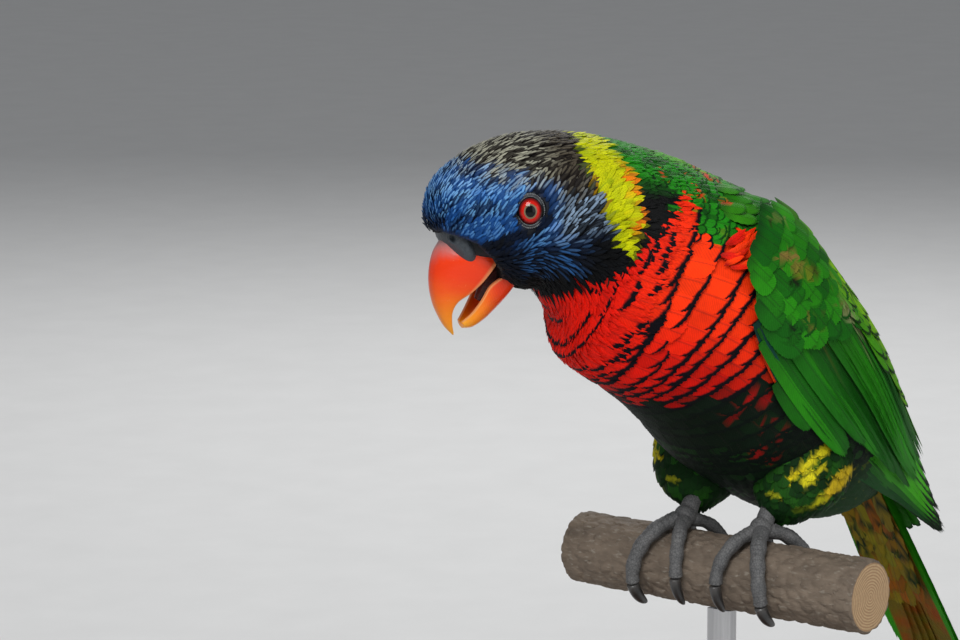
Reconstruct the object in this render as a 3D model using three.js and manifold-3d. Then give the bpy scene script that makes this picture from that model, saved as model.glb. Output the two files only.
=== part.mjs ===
// A life-size perched rainbow lorikeet, leaning forward with its head turned and its bill open, on a
// short perch held by a plain display stand. Millimetres, +Z up. The bird faces -X and its left side is
// towards -Y. The origin is the centre of the base's underside.
import * as THREE from 'three';
import { mergeVertices } from 'three/addons/utils/BufferGeometryUtils.js';
import Module from 'manifold-3d';

const wasm = await Module();
wasm.setup();
const { Manifold } = wasm;

// Driving dimensions
const GAP = 0.3; // left between neighbouring sub-parts
const BASE_RADIUS = 60;
const BASE_HEIGHT = 9;
const PERCH_RADIUS = 9;
const PERCH_LENGTH = 84;
const PERCH_HEIGHT = 94;
const POST_RADIUS = 3.5;
const NECK_ROOT = new THREE.Vector3(-9.5, 0, 170); // where neck and torso meet
const HEAD_OFFSET = new THREE.Vector3(-39.6, 22.4, 16.3); // from there to the middle of the head
const HEAD_TURN = 32; // degrees to the bird's right
const TAIL_DROP = 53; // degrees below level
const TAIL_LENGTH = 110;
const EYE_RADIUS = 4.2;
const EYE_OPENING = 3.0;
const FOOT_SPREAD = 11; // each foot's distance from the middle
const TOE_RADIUS = 2.0;
const VANE_THICKNESS = 0.55;

const UP = new THREE.Vector3(0, 0, 1);
const radians = THREE.MathUtils.degToRad;
const mix = THREE.MathUtils.lerp;

// Solids from points
function solidFrom(positions, triangles) {
  const build = (faces) =>
    new Manifold(new wasm.Mesh({
      numProp: 3,
      vertProperties: new Float32Array(positions.flatMap((p) => [p.x, p.y, p.z])),
      triVerts: new Uint32Array(faces.flat()),
    }));
  const made = build(triangles);
  return made.volume() > 0 ? made : build(triangles.map(([a, b, c]) => [a, c, b]));
}

// A closed solid between two grids of points of one size, split into triangles alike on both faces.
function sheetSolid(top, bottom) {
  const rows = top.length;
  const columns = top[0].length;
  const count = rows * columns;
  const at = (i, j) => i * columns + j;
  const faces = [];
  const quad = (a, b, c, d) => faces.push([a, b, c], [a, c, d]);
  for (let i = 0; i < rows - 1; i += 1) {
    for (let j = 0; j < columns - 1; j += 1) {
      const corners = [at(i, j), at(i + 1, j), at(i + 1, j + 1), at(i, j + 1)];
      quad(...corners);
      const [a, b, c, d] = corners.map((k) => k + count);
      faces.push([a, c, b], [a, d, c]);
    }
  }
  const rim = [];
  for (let i = 0; i < rows - 1; i += 1) rim.push(at(i, 0));
  for (let j = 0; j < columns - 1; j += 1) rim.push(at(rows - 1, j));
  for (let i = rows - 1; i > 0; i -= 1) rim.push(at(i, columns - 1));
  for (let j = columns - 1; j > 0; j -= 1) rim.push(at(0, j));
  rim.forEach((a, k) => {
    const b = rim[(k + 1) % rim.length];
    quad(b, a, a + count, b + count);
  });
  return solidFrom([...top.flat(), ...bottom.flat()], faces);
}

// A closed solid through rings of points of one size, each end closed on its own middle point.
function ringSolid(rings, firstPole, lastPole) {
  const size = rings[0].length;
  const middle = (ring) => ring.reduce((sum, p) => sum.add(p), new THREE.Vector3()).divideScalar(size);
  const points = [...rings.flat(), firstPole ?? middle(rings[0]), lastPole ?? middle(rings.at(-1))];
  const first = rings.length * size;
  const faces = [];
  for (let j = 0; j < size; j += 1) {
    const k = (j + 1) % size;
    for (let i = 0; i < rings.length - 1; i += 1) {
      const [a, b] = [i * size + j, i * size + k];
      faces.push([a, b, b + size], [a, b + size, a + size]);
    }
    const end = (rings.length - 1) * size;
    faces.push([first, k, j], [first + 1, end + j, end + k]);
  }
  return solidFrom(points, faces);
}

// Rings with the two end ones moved outwards by a distance.
function lengthened(rings, distance) {
  const size = rings[0].length;
  const middle = (ring) => ring.reduce((sum, p) => sum.add(p), new THREE.Vector3()).divideScalar(size);
  const moved = (ring, next) => {
    const shift = middle(ring).sub(middle(next)).setLength(distance);
    return ring.map((p) => p.clone().add(shift));
  };
  if (!distance) return rings;
  return [moved(rings[0], rings[1]), ...rings.slice(1, -1), moved(rings.at(-1), rings.at(-2))];
}

// A three.js geometry as a solid.
function solidOf(geometry) {
  const bare = geometry.clone();
  bare.deleteAttribute('normal');
  bare.deleteAttribute('uv');
  const merged = mergeVertices(bare, 1e-4);
  const place = merged.attributes.position;
  const points = Array.from({ length: place.count }, (_, i) => (
    new THREE.Vector3().fromBufferAttribute(place, i)));
  const index = Array.from(merged.index.array);
  const faces = [];
  for (let i = 0; i < index.length; i += 3) faces.push(index.slice(i, i + 3));
  return solidFrom(points, faces.filter(([a, b, c]) => a !== b && b !== c && c !== a));
}

const joined = (solids) => Manifold.union(solids);

function largestOf(solid) {
  return solid.decompose().reduce((best, piece) => (piece.volume() > best.volume() ? piece : best));
}

function ballSolid(centre, radius, segments = 16) {
  const ball = new THREE.SphereGeometry(radius, segments, Math.ceil(segments * 0.6));
  ball.rotateX(Math.PI / 2);
  return solidOf(ball.translate(centre.x, centre.y, centre.z));
}

// A smooth value or point between the stations of a list, by place in the list.
function through(list, place) {
  const last = list.length - 1;
  const i = Math.min(Math.max(Math.floor(place), 0), last - 1);
  const t = place - i;
  const [p0, p1, p2, p3] = [-1, 0, 1, 2].map((k) => list[Math.min(Math.max(i + k, 0), last)]);
  const slope = (a, b) => (b - a) / 2;
  const [m1, m2] = [slope(p0, p2), slope(p1, p3)];
  const [t2, t3] = [t * t, t * t * t];
  return (2 * t3 - 3 * t2 + 1) * p1 + (t3 - 2 * t2 + t) * m1 + (3 * t2 - 2 * t3) * p2 + (t3 - t2) * m2;
}

// A body form swept along a bent line. A station has its centre, its half width, and its reach towards the
// back and towards the belly. A place on the form is a distance along it, and an angle from the middle of
// the back, positive on the bird's left.
class Form {
  constructor(stations) {
    this.stations = stations;
    const steps = (stations.length - 1) * 12;
    this.table = [0];
    for (let i = 1; i <= steps; i += 1) {
      this.table.push(this.table[i - 1] + this.centreAt(i / 12).distanceTo(this.centreAt((i - 1) / 12)));
    }
    this.length = this.table.at(-1);
  }

  value(key, place) {
    return through(this.stations.map((station) => station[key]), place);
  }

  centreAt(place) {
    const along = (axis) => through(this.stations.map((station) => station.at[axis]), place);
    return new THREE.Vector3(along('x'), along('y'), along('z'));
  }

  placeAt(distance) {
    const d = Math.min(Math.max(distance, 0), this.length);
    let i = 1;
    while (this.table[i] < d) i += 1;
    return (i - 1 + (d - this.table[i - 1]) / (this.table[i] - this.table[i - 1])) / 12;
  }

  frame(place) {
    const last = this.stations.length - 1;
    const [before, after] = [Math.max(place - 0.05, 0), Math.min(place + 0.05, last)];
    const along = this.centreAt(after).sub(this.centreAt(before)).normalize();
    const left = new THREE.Vector3(along.y, -along.x, 0).normalize();
    return { centre: this.centreAt(place), left, back: left.clone().cross(along) };
  }

  // The point at an angle in degrees, raised over the form by lift.
  point(distance, angle, lift = 0) {
    const place = this.placeAt(distance);
    const { centre, left, back } = this.frame(place);
    const [sine, cosine] = [Math.sin(radians(angle)), Math.cos(radians(angle))];
    const wide = this.value('wide', place) + lift;
    const tall = this.value(cosine > 0 ? 'back' : 'belly', place) + lift;
    return centre.addScaledVector(left, wide * sine).addScaledVector(back, tall * cosine);
  }

  // Millimetres for each degree round the form.
  reachOfDegree(distance, angle) {
    return this.point(distance, angle + 1).distanceTo(this.point(distance, angle - 1)) / 2;
  }

  ring(distance, lift, around) {
    return Array.from({ length: around }, (_, k) => this.point(distance, (360 * k) / around, lift));
  }

  distanceAt(place) {
    const i = Math.min(Math.floor(place * 12), this.table.length - 2);
    return mix(this.table[i], this.table[i + 1], place * 12 - i);
  }

  // The form between two places in its list of stations, grown by lift, with flat ends. The first end is
  // set back by a gap.
  solid({ from = 0, to = this.stations.length - 1, lift = 0, around = 24, rings = 2, gap = 0 } = {}) {
    const count = Math.max(1, Math.round((to - from) * rings));
    const places = Array.from({ length: count + 1 }, (_, i) => mix(from, to, i / count));
    const all = places.map((place) => this.ring(this.distanceAt(place), lift, around));
    const { left, back } = this.frame(from);
    all[0].forEach((p) => p.addScaledVector(back.clone().cross(left), gap));
    return ringSolid(all);
  }
}

// The head's own plane: forward along the bill's heading, up, and out to the bird's left.
const HEADING = new THREE.Vector3(-Math.cos(radians(HEAD_TURN)), Math.sin(radians(HEAD_TURN)), 0);
const HEAD_LEFT = UP.clone().cross(HEADING);
const HEAD_CENTRE = NECK_ROOT.clone().add(HEAD_OFFSET);
function headPoint(forward, up, left = 0) {
  return HEAD_CENTRE.clone().addScaledVector(HEADING, forward).addScaledVector(HEAD_LEFT, left)
    .addScaledVector(UP, up);
}
const torsoPoint = (x, z, right = 0) => NECK_ROOT.clone().add(new THREE.Vector3(x, right, z));

// Head, neck and torso are one form, parted at two stations.
const BODY = new Form([
  { at: headPoint(20.6, -12.0), wide: 3.0, back: 5.6, belly: 2.0 },
  { at: headPoint(19.2, -11.3), wide: 7.6, back: 11.0, belly: 4.0 },
  { at: headPoint(15.8, -9.5), wide: 11.6, back: 15.9, belly: 7.6 },
  { at: headPoint(9.5, -6.1), wide: 14.0, back: 19.0, belly: 14.6 },
  { at: headPoint(0.6, -2.6), wide: 15.4, back: 19.4, belly: 18.2 },
  { at: headPoint(-10.0, -2.2), wide: 17.0, back: 18.6, belly: 25.6 },
  { at: headPoint(-20.0, -4.6), wide: 22.0, back: 18.6, belly: 33.0 },
  { at: torsoPoint(-12.6, 5.9, 4.9), wide: 25.5, back: 20.2, belly: 35.0 },
  { at: torsoPoint(-1.2, -3, 1.2), wide: 28.5, back: 22.5, belly: 34.6 },
  { at: torsoPoint(12, -15), wide: 29.6, back: 21.2, belly: 33.0 },
  { at: torsoPoint(25, -28), wide: 29.6, back: 21.2, belly: 31.0 },
  { at: torsoPoint(39, -41), wide: 26.5, back: 20.0, belly: 26.0 },
  { at: torsoPoint(52, -51), wide: 20.0, back: 17.0, belly: 20.5 },
  { at: torsoPoint(64, -58), wide: 12.5, back: 11.0, belly: 13.0 },
  { at: torsoPoint(72, -63), wide: 7.0, back: 6.0, belly: 7.0 },
]);
const HEAD_END = 5.35;
const NECK_END = 7.3;

// The folded wings lie on a form just outside the torso, which runs on over the tail's root.
const WING = new Form([
  { at: torsoPoint(-17, 11), wide: 25.5, back: 20.2, belly: 27.0 },
  { at: torsoPoint(-2, -1), wide: 29.2, back: 22.6, belly: 33.2 },
  { at: torsoPoint(12, -15), wide: 30.4, back: 22.0, belly: 33.8 },
  { at: torsoPoint(25, -28), wide: 30.4, back: 22.0, belly: 31.8 },
  { at: torsoPoint(39, -41), wide: 27.3, back: 20.8, belly: 26.8 },
  { at: torsoPoint(53, -52), wide: 22.5, back: 19.5, belly: 21.0 },
  { at: torsoPoint(67, -62), wide: 18.0, back: 16.5, belly: 16.5 },
  { at: torsoPoint(80, -72), wide: 14.5, back: 14.0, belly: 13.5 },
  { at: torsoPoint(94, -83), wide: 12.5, back: 12.5, belly: 12.0 },
  { at: torsoPoint(107, -94), wide: 11.5, back: 11.5, belly: 11.0 },
]);

// The tail's plane: distance along it, millimetres to the left, and lift.
const TAIL_ROOT = torsoPoint(70.5, -60);
const TAIL_ALONG = new THREE.Vector3(Math.cos(radians(TAIL_DROP)), 0, -Math.sin(radians(TAIL_DROP)));
const TAIL_BACK = new THREE.Vector3(-TAIL_ALONG.z, 0, TAIL_ALONG.x);
const TAIL_ARCH = 42; // radius of its arched cross section
const TAIL = {
  point: (distance, left, lift = 0) =>
    TAIL_ROOT.clone().addScaledVector(TAIL_ALONG, distance)
      .add(new THREE.Vector3(0, -left, 0))
      .addScaledVector(TAIL_BACK, lift - (left * left) / (2 * TAIL_ARCH)),
};

// Feather widths from root to tip, as shares of the full width
const ROUND_TIP = [0.4, 0.95, 1, 0.55];
const BLADE_TIP = [0.4, 0.85, 1, 0.92, 0.42];
const POINTED_TIP = [0.5, 0.9, 1, 0.74, 0.2];

// One feather's vane. Place gives the point at a share of its length, millimetres off the shaft, and a lift.
// Rise is the lift of its upper face at root, middle and tip, and tilt lifts one edge over its neighbour.
function vane(place, { width, rise, outline, tilt = 0, thick = VANE_THICKNESS }) {
  const last = outline.length - 1;
  const [top, bottom] = [[], []];
  outline.forEach((share, i) => {
    const t = i / last;
    const half = (width * share) / 2;
    const lift = t < 0.5 ? mix(rise[0], rise[1], t * 2) : mix(rise[1], rise[2], t * 2 - 1);
    const spots = [-1, 0, 1].map((k) => [i === last && k ? t - 0.06 : t, k * half,
      lift + tilt * k * half * Math.min(t * 3, 1)]);
    const deep = mix(thick, thick * 0.75, t);
    top.push(spots.map(([share, off, up]) => place(share, off, up)));
    bottom.push(spots.map(([share, off, up]) => place(share, off, up - deep)));
  });
  return sheetSolid(top, bottom);
}

// Head
function eyeFrame(side) {
  const middle = headPoint(3.2, 0.8, side * 11.4);
  const out = HEAD_LEFT.clone().multiplyScalar(side).addScaledVector(HEADING, 0.3).addScaledVector(UP, 0.04)
    .normalize();
  return { middle, out };
}

function eyeSolid(side, grow = 0) {
  return ballSolid(eyeFrame(side).middle, EYE_RADIUS + grow, 14);
}

function lidSolid(side) {
  const { middle, out } = eyeFrame(side);
  const ring = new THREE.TorusGeometry(EYE_OPENING + 0.75, 0.8, 5, 14);
  ring.applyQuaternion(new THREE.Quaternion().setFromUnitVectors(UP, out));
  const seat = middle.clone().addScaledVector(out, 2.6);
  return solidOf(ring.translate(seat.x, seat.y, seat.z));
}

function headSolid() {
  let head = BODY.solid({ to: HEAD_END, around: 26 });
  head = joined([head, cereSolid(0), lidSolid(1), lidSolid(-1)]);
  for (const side of [1, -1]) {
    const nostril = ballSolid(headPoint(19.2, -5.6, side * 5.2), 1.0, 8);
    head = head.subtract(nostril).subtract(eyeSolid(side, GAP));
  }
  const bill = [upperBillSolid(GAP), lowerBillCore(GAP), tongueSolid(GAP)];
  return largestOf(bill.reduce((rest, solid) => rest.subtract(solid), head));
}

// The soft band that carries the nostrils, over the root of the upper bill
function cereSolid(grow) {
  const ball = new THREE.SphereGeometry(1, 14, 8);
  ball.scale(6.6 + grow, 7.4 + grow, 3.1 + grow);
  ball.rotateX(radians(62));
  ball.applyMatrix4(new THREE.Matrix4().makeBasis(HEAD_LEFT, HEADING, UP));
  const seat = headPoint(16.6, -7.6);
  return solidOf(ball.translate(seat.x, seat.y, seat.z));
}

// The upper bill, from its root to its tip: the ridge line, the cutting edge, and the half width.
const UPPER_BILL = [
  { ridge: [19.4, -5.6], edge: [8.6, -10.8], wide: 5.8 },
  { ridge: [22.0, -9.4], edge: [10.4, -13.4], wide: 6.2 },
  { ridge: [23.1, -13.5], edge: [12.4, -16.2], wide: 5.8 },
  { ridge: [23.2, -17.5], edge: [14.9, -18.8], wide: 5.0 },
  { ridge: [22.5, -21.2], edge: [17.6, -20.9], wide: 3.9 },
  { ridge: [21.3, -24.2], edge: [18.6, -23.4], wide: 2.8 },
  { ridge: [19.7, -27.0], edge: [18.3, -26.4], wide: 1.7 },
  { ridge: [17.6, -29.2], edge: [17.6, -28.5], wide: 0.6 },
];
// Shares of the way from ridge to edge, and of the half width, round one side of the arched section
const BILL_ARCH = [[0, 0], [0.06, 0.42], [0.3, 0.78], [0.65, 0.97], [1, 1], [0.94, 0.72], [0.84, 0.3]];

function upperBillSolid(grow = 0) {
  const rings = UPPER_BILL.map(({ ridge, edge, wide }) => {
    const reach = Math.hypot(edge[0] - ridge[0], edge[1] - ridge[1]);
    const spot = ([down, out], side) => {
      const share = down + (grow / reach) * (down * 2 - 1);
      return headPoint(mix(ridge[0], edge[0], share), mix(ridge[1], edge[1], share),
        side * (wide + grow) * out);
    };
    const inside = BILL_ARCH.slice(1).reverse();
    return [...BILL_ARCH.map((p) => spot(p, 1)), spot([0.8, 0], 1), ...inside.map((p) => spot(p, -1))];
  });
  return ringSolid(lengthened(rings, grow));
}

// The lower bill, a scoop: the upper edge of its wall, the keel, and the half width.
const LOWER_BILL = [
  { edge: [5.0, -14.4], keel: [2.6, -17.6], wide: 5.2 },
  { edge: [7.4, -15.6], keel: [4.6, -20.4], wide: 5.2 },
  { edge: [10.1, -17.6], keel: [7.5, -23.4], wide: 4.9 },
  { edge: [12.0, -21.0], keel: [10.4, -25.9], wide: 4.3 },
  { edge: [14.0, -24.0], keel: [13.2, -27.5], wide: 3.3 },
  { edge: [15.8, -26.0], keel: [15.4, -27.6], wide: 1.9 },
];
const BILL_WALL = 1.1;
// Shares of the way from edge to keel, and of the half width, across the scoop
const SCOOP = [[0, -1], [0.42, -0.96], [0.8, -0.66], [1, 0], [0.8, 0.66], [0.42, 0.96], [0, 1]];

function scoopPoints(shrink) {
  return LOWER_BILL.map(({ edge, keel, wide }) => {
    const reach = Math.hypot(keel[0] - edge[0], keel[1] - edge[1]);
    return SCOOP.map(([down, out]) => {
      const share = down * (1 - shrink / reach);
      return headPoint(mix(edge[0], keel[0], share), mix(edge[1], keel[1], share),
        Math.max(wide - shrink, wide * 0.3) * out);
    });
  });
}

const lowerBillSolid = () => sheetSolid(scoopPoints(0), scoopPoints(BILL_WALL));

// The lower bill with its trough filled, to cut its seat in the head.
function lowerBillCore(grow) {
  return ringSolid(lengthened(scoopPoints(-grow).slice(0, 4), grow));
}

function tubeSolid(spots, radii, around, grow = 0) {
  const curve = new THREE.CatmullRomCurve3(spots);
  const steps = (spots.length - 1) * 2;
  const rings = Array.from({ length: steps + 1 }, (_, i) => {
    const t = i / steps;
    const along = curve.getTangent(t);
    const side = new THREE.Vector3(0, -1, 0).projectOnPlane(along).normalize();
    const over = side.clone().cross(along);
    const radius = through(radii, t * (radii.length - 1)) + grow;
    return Array.from({ length: around }, (_, k) => {
      const turn = (2 * Math.PI * k) / around;
      return curve.getPoint(t).addScaledVector(side, radius * Math.cos(turn))
        .addScaledVector(over, radius * Math.sin(turn));
    });
  });
  return ringSolid(lengthened(rings, grow));
}

function tongueSolid(grow = 0) {
  const spots = [[3.6, -13.4], [7.0, -16.0], [9.6, -18.6], [11.4, -21.4]]
    .map(([x, z]) => headPoint(x, z));
  return tubeSolid(spots, [2.0, 2.1, 1.9, 1.1], 10, grow);
}

// Folded wings. The outline of each on its form: distance along it, and the angles of the upper and the
// lower edge. A feather's row is a share of the way from the upper edge to the lower.
const WING_OUTLINE = [
  { at: 3, upper: 66, lower: 98 }, { at: 8, upper: 50, lower: 112 }, { at: 20, upper: 32, lower: 122 },
  { at: 38, upper: 24, lower: 126 }, { at: 56, upper: 20, lower: 124 }, { at: 74, upper: 18, lower: 115 },
  { at: 92, upper: 20, lower: 107 }, { at: 108, upper: 26, lower: 99 }, { at: 122, upper: 38, lower: 90 },
  { at: 134, upper: 50, lower: 82 }, { at: 144, upper: 58, lower: 72 },
];

function wingAngle(distance, row) {
  const last = WING_OUTLINE.length - 1;
  const next = WING_OUTLINE.findIndex(({ at }, i) => i > 0 && (at >= distance || i === last));
  const [a, b] = [WING_OUTLINE[next - 1], WING_OUTLINE[next]];
  const t = (distance - a.at) / (b.at - a.at);
  return mix(mix(a.upper, b.upper, t), mix(a.lower, b.lower, t), row);
}

// Tiers of vanes from the wrist back. Each has the distances of its roots, and of its tips in the top and
// bottom row. Rows are a pitch apart, neighbouring tiers are set off by half a pitch, and rise is the lift
// at root, middle and tip. The primaries sink towards the lower edge, under one another.
const ROW_PITCH = 0.155;
const SHINGLED = [0.8, 1.9, 2.7];
const TIERS = [
  { name: 'lesser coverts', rows: 5, first: 0.19, root: 5, tips: [22, 20], rise: SHINGLED,
    outline: ROUND_TIP },
  { name: 'lesser coverts', rows: 6, first: 0.11, root: 13, tips: [32, 31], rise: SHINGLED,
    outline: ROUND_TIP },
  { name: 'median coverts', rows: 5, first: 0.19, root: 24, tips: [46, 43], rise: SHINGLED,
    outline: ROUND_TIP },
  { name: 'greater coverts', rows: 6, first: 0.11, root: 35, tips: [67, 57], rise: SHINGLED,
    outline: ROUND_TIP },
  { name: 'secondaries', rows: 6, first: 0.06, root: 50, tips: [104, 80], rise: [0.8, 1.7, 1.9],
    outline: BLADE_TIP },
  { name: 'primaries', rows: 6, first: 0.42, pitch: 0.1, root: 58, tips: [112, 144], rise: [0.7, 0.3, 0.7],
    outline: POINTED_TIP, width: 10, sink: 0.35 },
];
const STACK = 0.8; // from the face of one vane to the face of the next

function wingPlace(side, root, tip, row) {
  return (share, off, lift) => {
    const distance = mix(root, tip, share);
    const angle = wingAngle(distance, row);
    return WING.point(distance, side * (angle + off / WING.reachOfDegree(distance, side * angle)), lift);
  };
}

// Millimetres from the upper edge of the wing to the lower at a distance along it.
function wingSpread(distance) {
  const middle = wingAngle(distance, 0.5);
  return (wingAngle(distance, 1) - wingAngle(distance, 0)) * WING.reachOfDegree(distance, middle);
}

function wingArm(side) {
  const columns = 6;
  const ends = [5, 10, 24, 44, 66];
  const grid = (lift) => ends.map((distance, i) => Array.from({ length: columns + 1 }, (_, j) => {
    const row = mix(0.05, 0.95, j / columns);
    return WING.point(distance, side * wingAngle(distance, row), lift);
  }));
  return sheetSolid(grid(1), grid(0));
}

function wingSolid(side) {
  const vanes = TIERS.flatMap((tier) => {
    const { rows, first, pitch = ROW_PITCH, root, tips, rise, outline, width, sink = 0 } = tier;
    return Array.from({ length: rows }, (_, k) => {
      const t = k / (rows - 1);
      const tip = mix(tips[0], tips[1], outline === POINTED_TIP ? Math.sin((t * Math.PI) / 2) : t);
      const apart = pitch * wingSpread(mix(root, tip, 0.6));
      const tilt = Math.min(STACK / apart, 0.3);
      const place = wingPlace(side, root, tip, first + pitch * k);
      const lifts = rise.map((lift, i) => lift - (sink * k * i) / 2);
      return vane(place, { width: width ?? apart * 1.4, rise: lifts, outline, tilt });
    });
  });
  const wing = joined([wingArm(side), ...vanes]);
  return largestOf(wing.subtract(trunkSolid(GAP * 1.5)).subtract(thighSolid(side, GAP)));
}

// Tail: six pairs of graded, pointed feathers, with coverts over and under their roots
const TAIL_PAIRS = 6;
const TAIL_VANE = { width: 9.6, pitch: 0.8, fan: 0.004, thick: 0.5, stack: 0.8 };
const TAIL_COVERTS = [
  { root: 4, tip: 30, rise: [1.4, 1.6, 1.4] }, { root: 0, tip: 17, rise: [1.4, 3.4, 3.6] },
  { root: 4, tip: 46, rise: [-4.4, -4.9, -4.6] }, { root: 0, tip: 26, rise: [-4.4, -6.6, -6.6] },
];
const COVERTS_A_SIDE = 2;

function tailPlace(side, root, tip, out, fan) {
  return (share, off, lift) => {
    const distance = mix(root, tip, share);
    return TAIL.point(distance, side * Math.max(out + fan * distance + off, 0.2), lift);
  };
}

function tailSolid() {
  const { width, pitch, fan, thick, stack } = TAIL_VANE;
  const vanes = [1, -1].flatMap((side) => Array.from({ length: TAIL_PAIRS }, (_, k) => {
    const low = -stack * k;
    return vane(tailPlace(side, 3, TAIL_LENGTH - 8.5 * k, 2.6 + pitch * k, fan * k), {
      width: width - 0.4 * k, rise: [low + 0.4, low + 0.4, low + 0.4], outline: POINTED_TIP, thick,
    });
  }));
  for (const { root, tip, rise } of TAIL_COVERTS) {
    for (const side of [1, -1]) {
      for (let k = 0; k < COVERTS_A_SIDE; k += 1) {
        const over = (COVERTS_A_SIDE - 1 - k) * stack * Math.sign(rise[0]);
        vanes.push(vane(tailPlace(side, root, tip - 4 * k, 2.4 + 2.4 * k, 0.01), {
          width: 7.6, rise: rise.map((lift) => lift + over), outline: ROUND_TIP, thick,
        }));
      }
    }
  }
  const root = sheetSolid(...[1.8, -6].map((lift) => [-1, 7, 12].map((distance, i) =>
    [-1, 0, 1].map((k) => {
      const [wide, tall] = [[6, 0.8], [8, 1], [8, 0.9]][i];
      return TAIL.point(distance, k * wide, -2 + (lift + 2) * tall * (1 - 0.35 * Math.abs(k)));
    }))));
  return largestOf(joined([root, ...vanes]).subtract(BODY.solid({ from: 9, lift: GAP, around: 28 })));
}

// Legs and feet: the toes curl round the perch, two forward and two back.
const PERCH = new THREE.Vector3(0, 0, PERCH_HEIGHT);
const FOOT_LIFT = PERCH_RADIUS + GAP + 2.8;
const footPoint = (side) => PERCH.clone().add(new THREE.Vector3(0, -side * FOOT_SPREAD, FOOT_LIFT));

// The feathered thigh, level rings from top to bottom: height, middle, and half widths
const THIGH = [
  { up: -26, x: 20, out: 12, long: 5, wide: 5 }, { up: -32, x: 21, out: 13, long: 10, wide: 9 },
  { up: -40, x: 22, out: 14, long: 12.5, wide: 11 }, { up: -48, x: 22, out: 14.5, long: 13, wide: 11.5 },
  { up: -55, x: 21, out: 14.5, long: 12, wide: 11 }, { up: -59.5, x: 19.5, out: 14, long: 9, wide: 8.5 },
  { up: -62.2, x: 18, out: 13.2, long: 5, wide: 5 },
];

function thighSolid(side, grow = 0) {
  const rings = THIGH.map(({ up, x, out, long, wide }) => Array.from({ length: 14 }, (_, k) => {
    const turn = (2 * Math.PI * k) / 14;
    return torsoPoint(x + (long + grow) * Math.cos(turn), up)
      .add(new THREE.Vector3(0, -side * out + (wide + grow) * Math.sin(turn), 0));
  }));
  return ringSolid(lengthened(rings, grow));
}

// A toe's course round the perch: turn in degrees from the top, positive to the front, and the splay.
const TOES = [
  { turn: 108, splay: 7.5, radius: TOE_RADIUS },
  { turn: 92, splay: -5.2, radius: TOE_RADIUS * 0.92 },
  { turn: -104, splay: 7.0, radius: TOE_RADIUS * 0.95 },
  { turn: -72, splay: -4.5, radius: TOE_RADIUS * 0.85 },
];
const CLAW_TURN = 40;
const CLAW_SEAM = 4.2; // degrees between a toe and its claw

function roundPerch(side, turn, splay, reach) {
  const angle = radians(turn);
  return PERCH.clone().add(new THREE.Vector3(-Math.sin(angle) * reach, -side * (FOOT_SPREAD + splay),
    Math.cos(angle) * reach));
}

function toeSolid(side, { turn, splay, radius }) {
  const spots = [0, 0.33, 0.67, 1].map((t) => roundPerch(side, mix(Math.sign(turn) * 4, turn, t),
    splay * mix(0.1, 1, Math.sin((t * Math.PI) / 2)), PERCH_RADIUS + GAP * 1.7 + radius * mix(1, 0.9, t)));
  return tubeSolid(spots, [radius, radius * 0.98, radius * 0.94, radius * 0.86], 7);
}

function clawSolid(side, { turn, splay, radius }) {
  const sign = Math.sign(turn);
  const spots = [0, 0.5, 1].map((t) => roundPerch(side, turn + sign * (CLAW_SEAM + CLAW_TURN * t), splay,
    PERCH_RADIUS + GAP * 1.8 + radius * mix(1.05, 0.55, t)));
  return tubeSolid(spots, [radius * 0.74, radius * 0.52, 0.22], 6);
}

function footSolid(side, grow = 0) {
  const foot = footPoint(side);
  const tarsus = [[9.5, 10.5], [5, 6], [1, 0.6]]
    .map(([x, z]) => foot.clone().add(new THREE.Vector3(x, 0, z)));
  const leg = joined([tubeSolid(tarsus, [2.3, 2.2, 2.3], 8, grow), ballSolid(foot, 2.7 + grow, 8)]);
  return grow ? leg : joined([leg, ...TOES.map((toe) => toeSolid(side, toe))]);
}

const torsoSolid = () => BODY.solid({ from: NECK_END, around: 28, gap: GAP });
const trunkSolid = (grow) => BODY.solid({ from: 3, lift: grow, around: 28 });

// Stand: a round base with a softened rim, two rods, and a cut length of branch
function baseSolid() {
  const rim = 2.5;
  const profile = [
    [0, 0], [BASE_RADIUS - 1, 0], [BASE_RADIUS, 1], [BASE_RADIUS, BASE_HEIGHT - rim],
    [BASE_RADIUS - 0.8, BASE_HEIGHT - 0.8], [BASE_RADIUS - rim, BASE_HEIGHT], [0, BASE_HEIGHT],
  ];
  const lathe = new THREE.LatheGeometry(profile.map(([r, z]) => new THREE.Vector2(r, z)), 32);
  return solidOf(lathe.rotateX(Math.PI / 2));
}

function postSolid() {
  const post = new THREE.CylinderGeometry(POST_RADIUS, POST_RADIUS, PERCH_HEIGHT - BASE_HEIGHT - GAP, 20);
  post.rotateX(Math.PI / 2);
  post.translate(0, 0, (PERCH_HEIGHT + BASE_HEIGHT + GAP) / 2);
  return solidOf(post).subtract(perchSolid(GAP));
}

function perchSolid(grow = 0) {
  const perch = new THREE.CylinderGeometry(PERCH_RADIUS + grow, PERCH_RADIUS + grow, PERCH_LENGTH, 32);
  return solidOf(perch.translate(0, 0, PERCH_HEIGHT));
}

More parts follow.
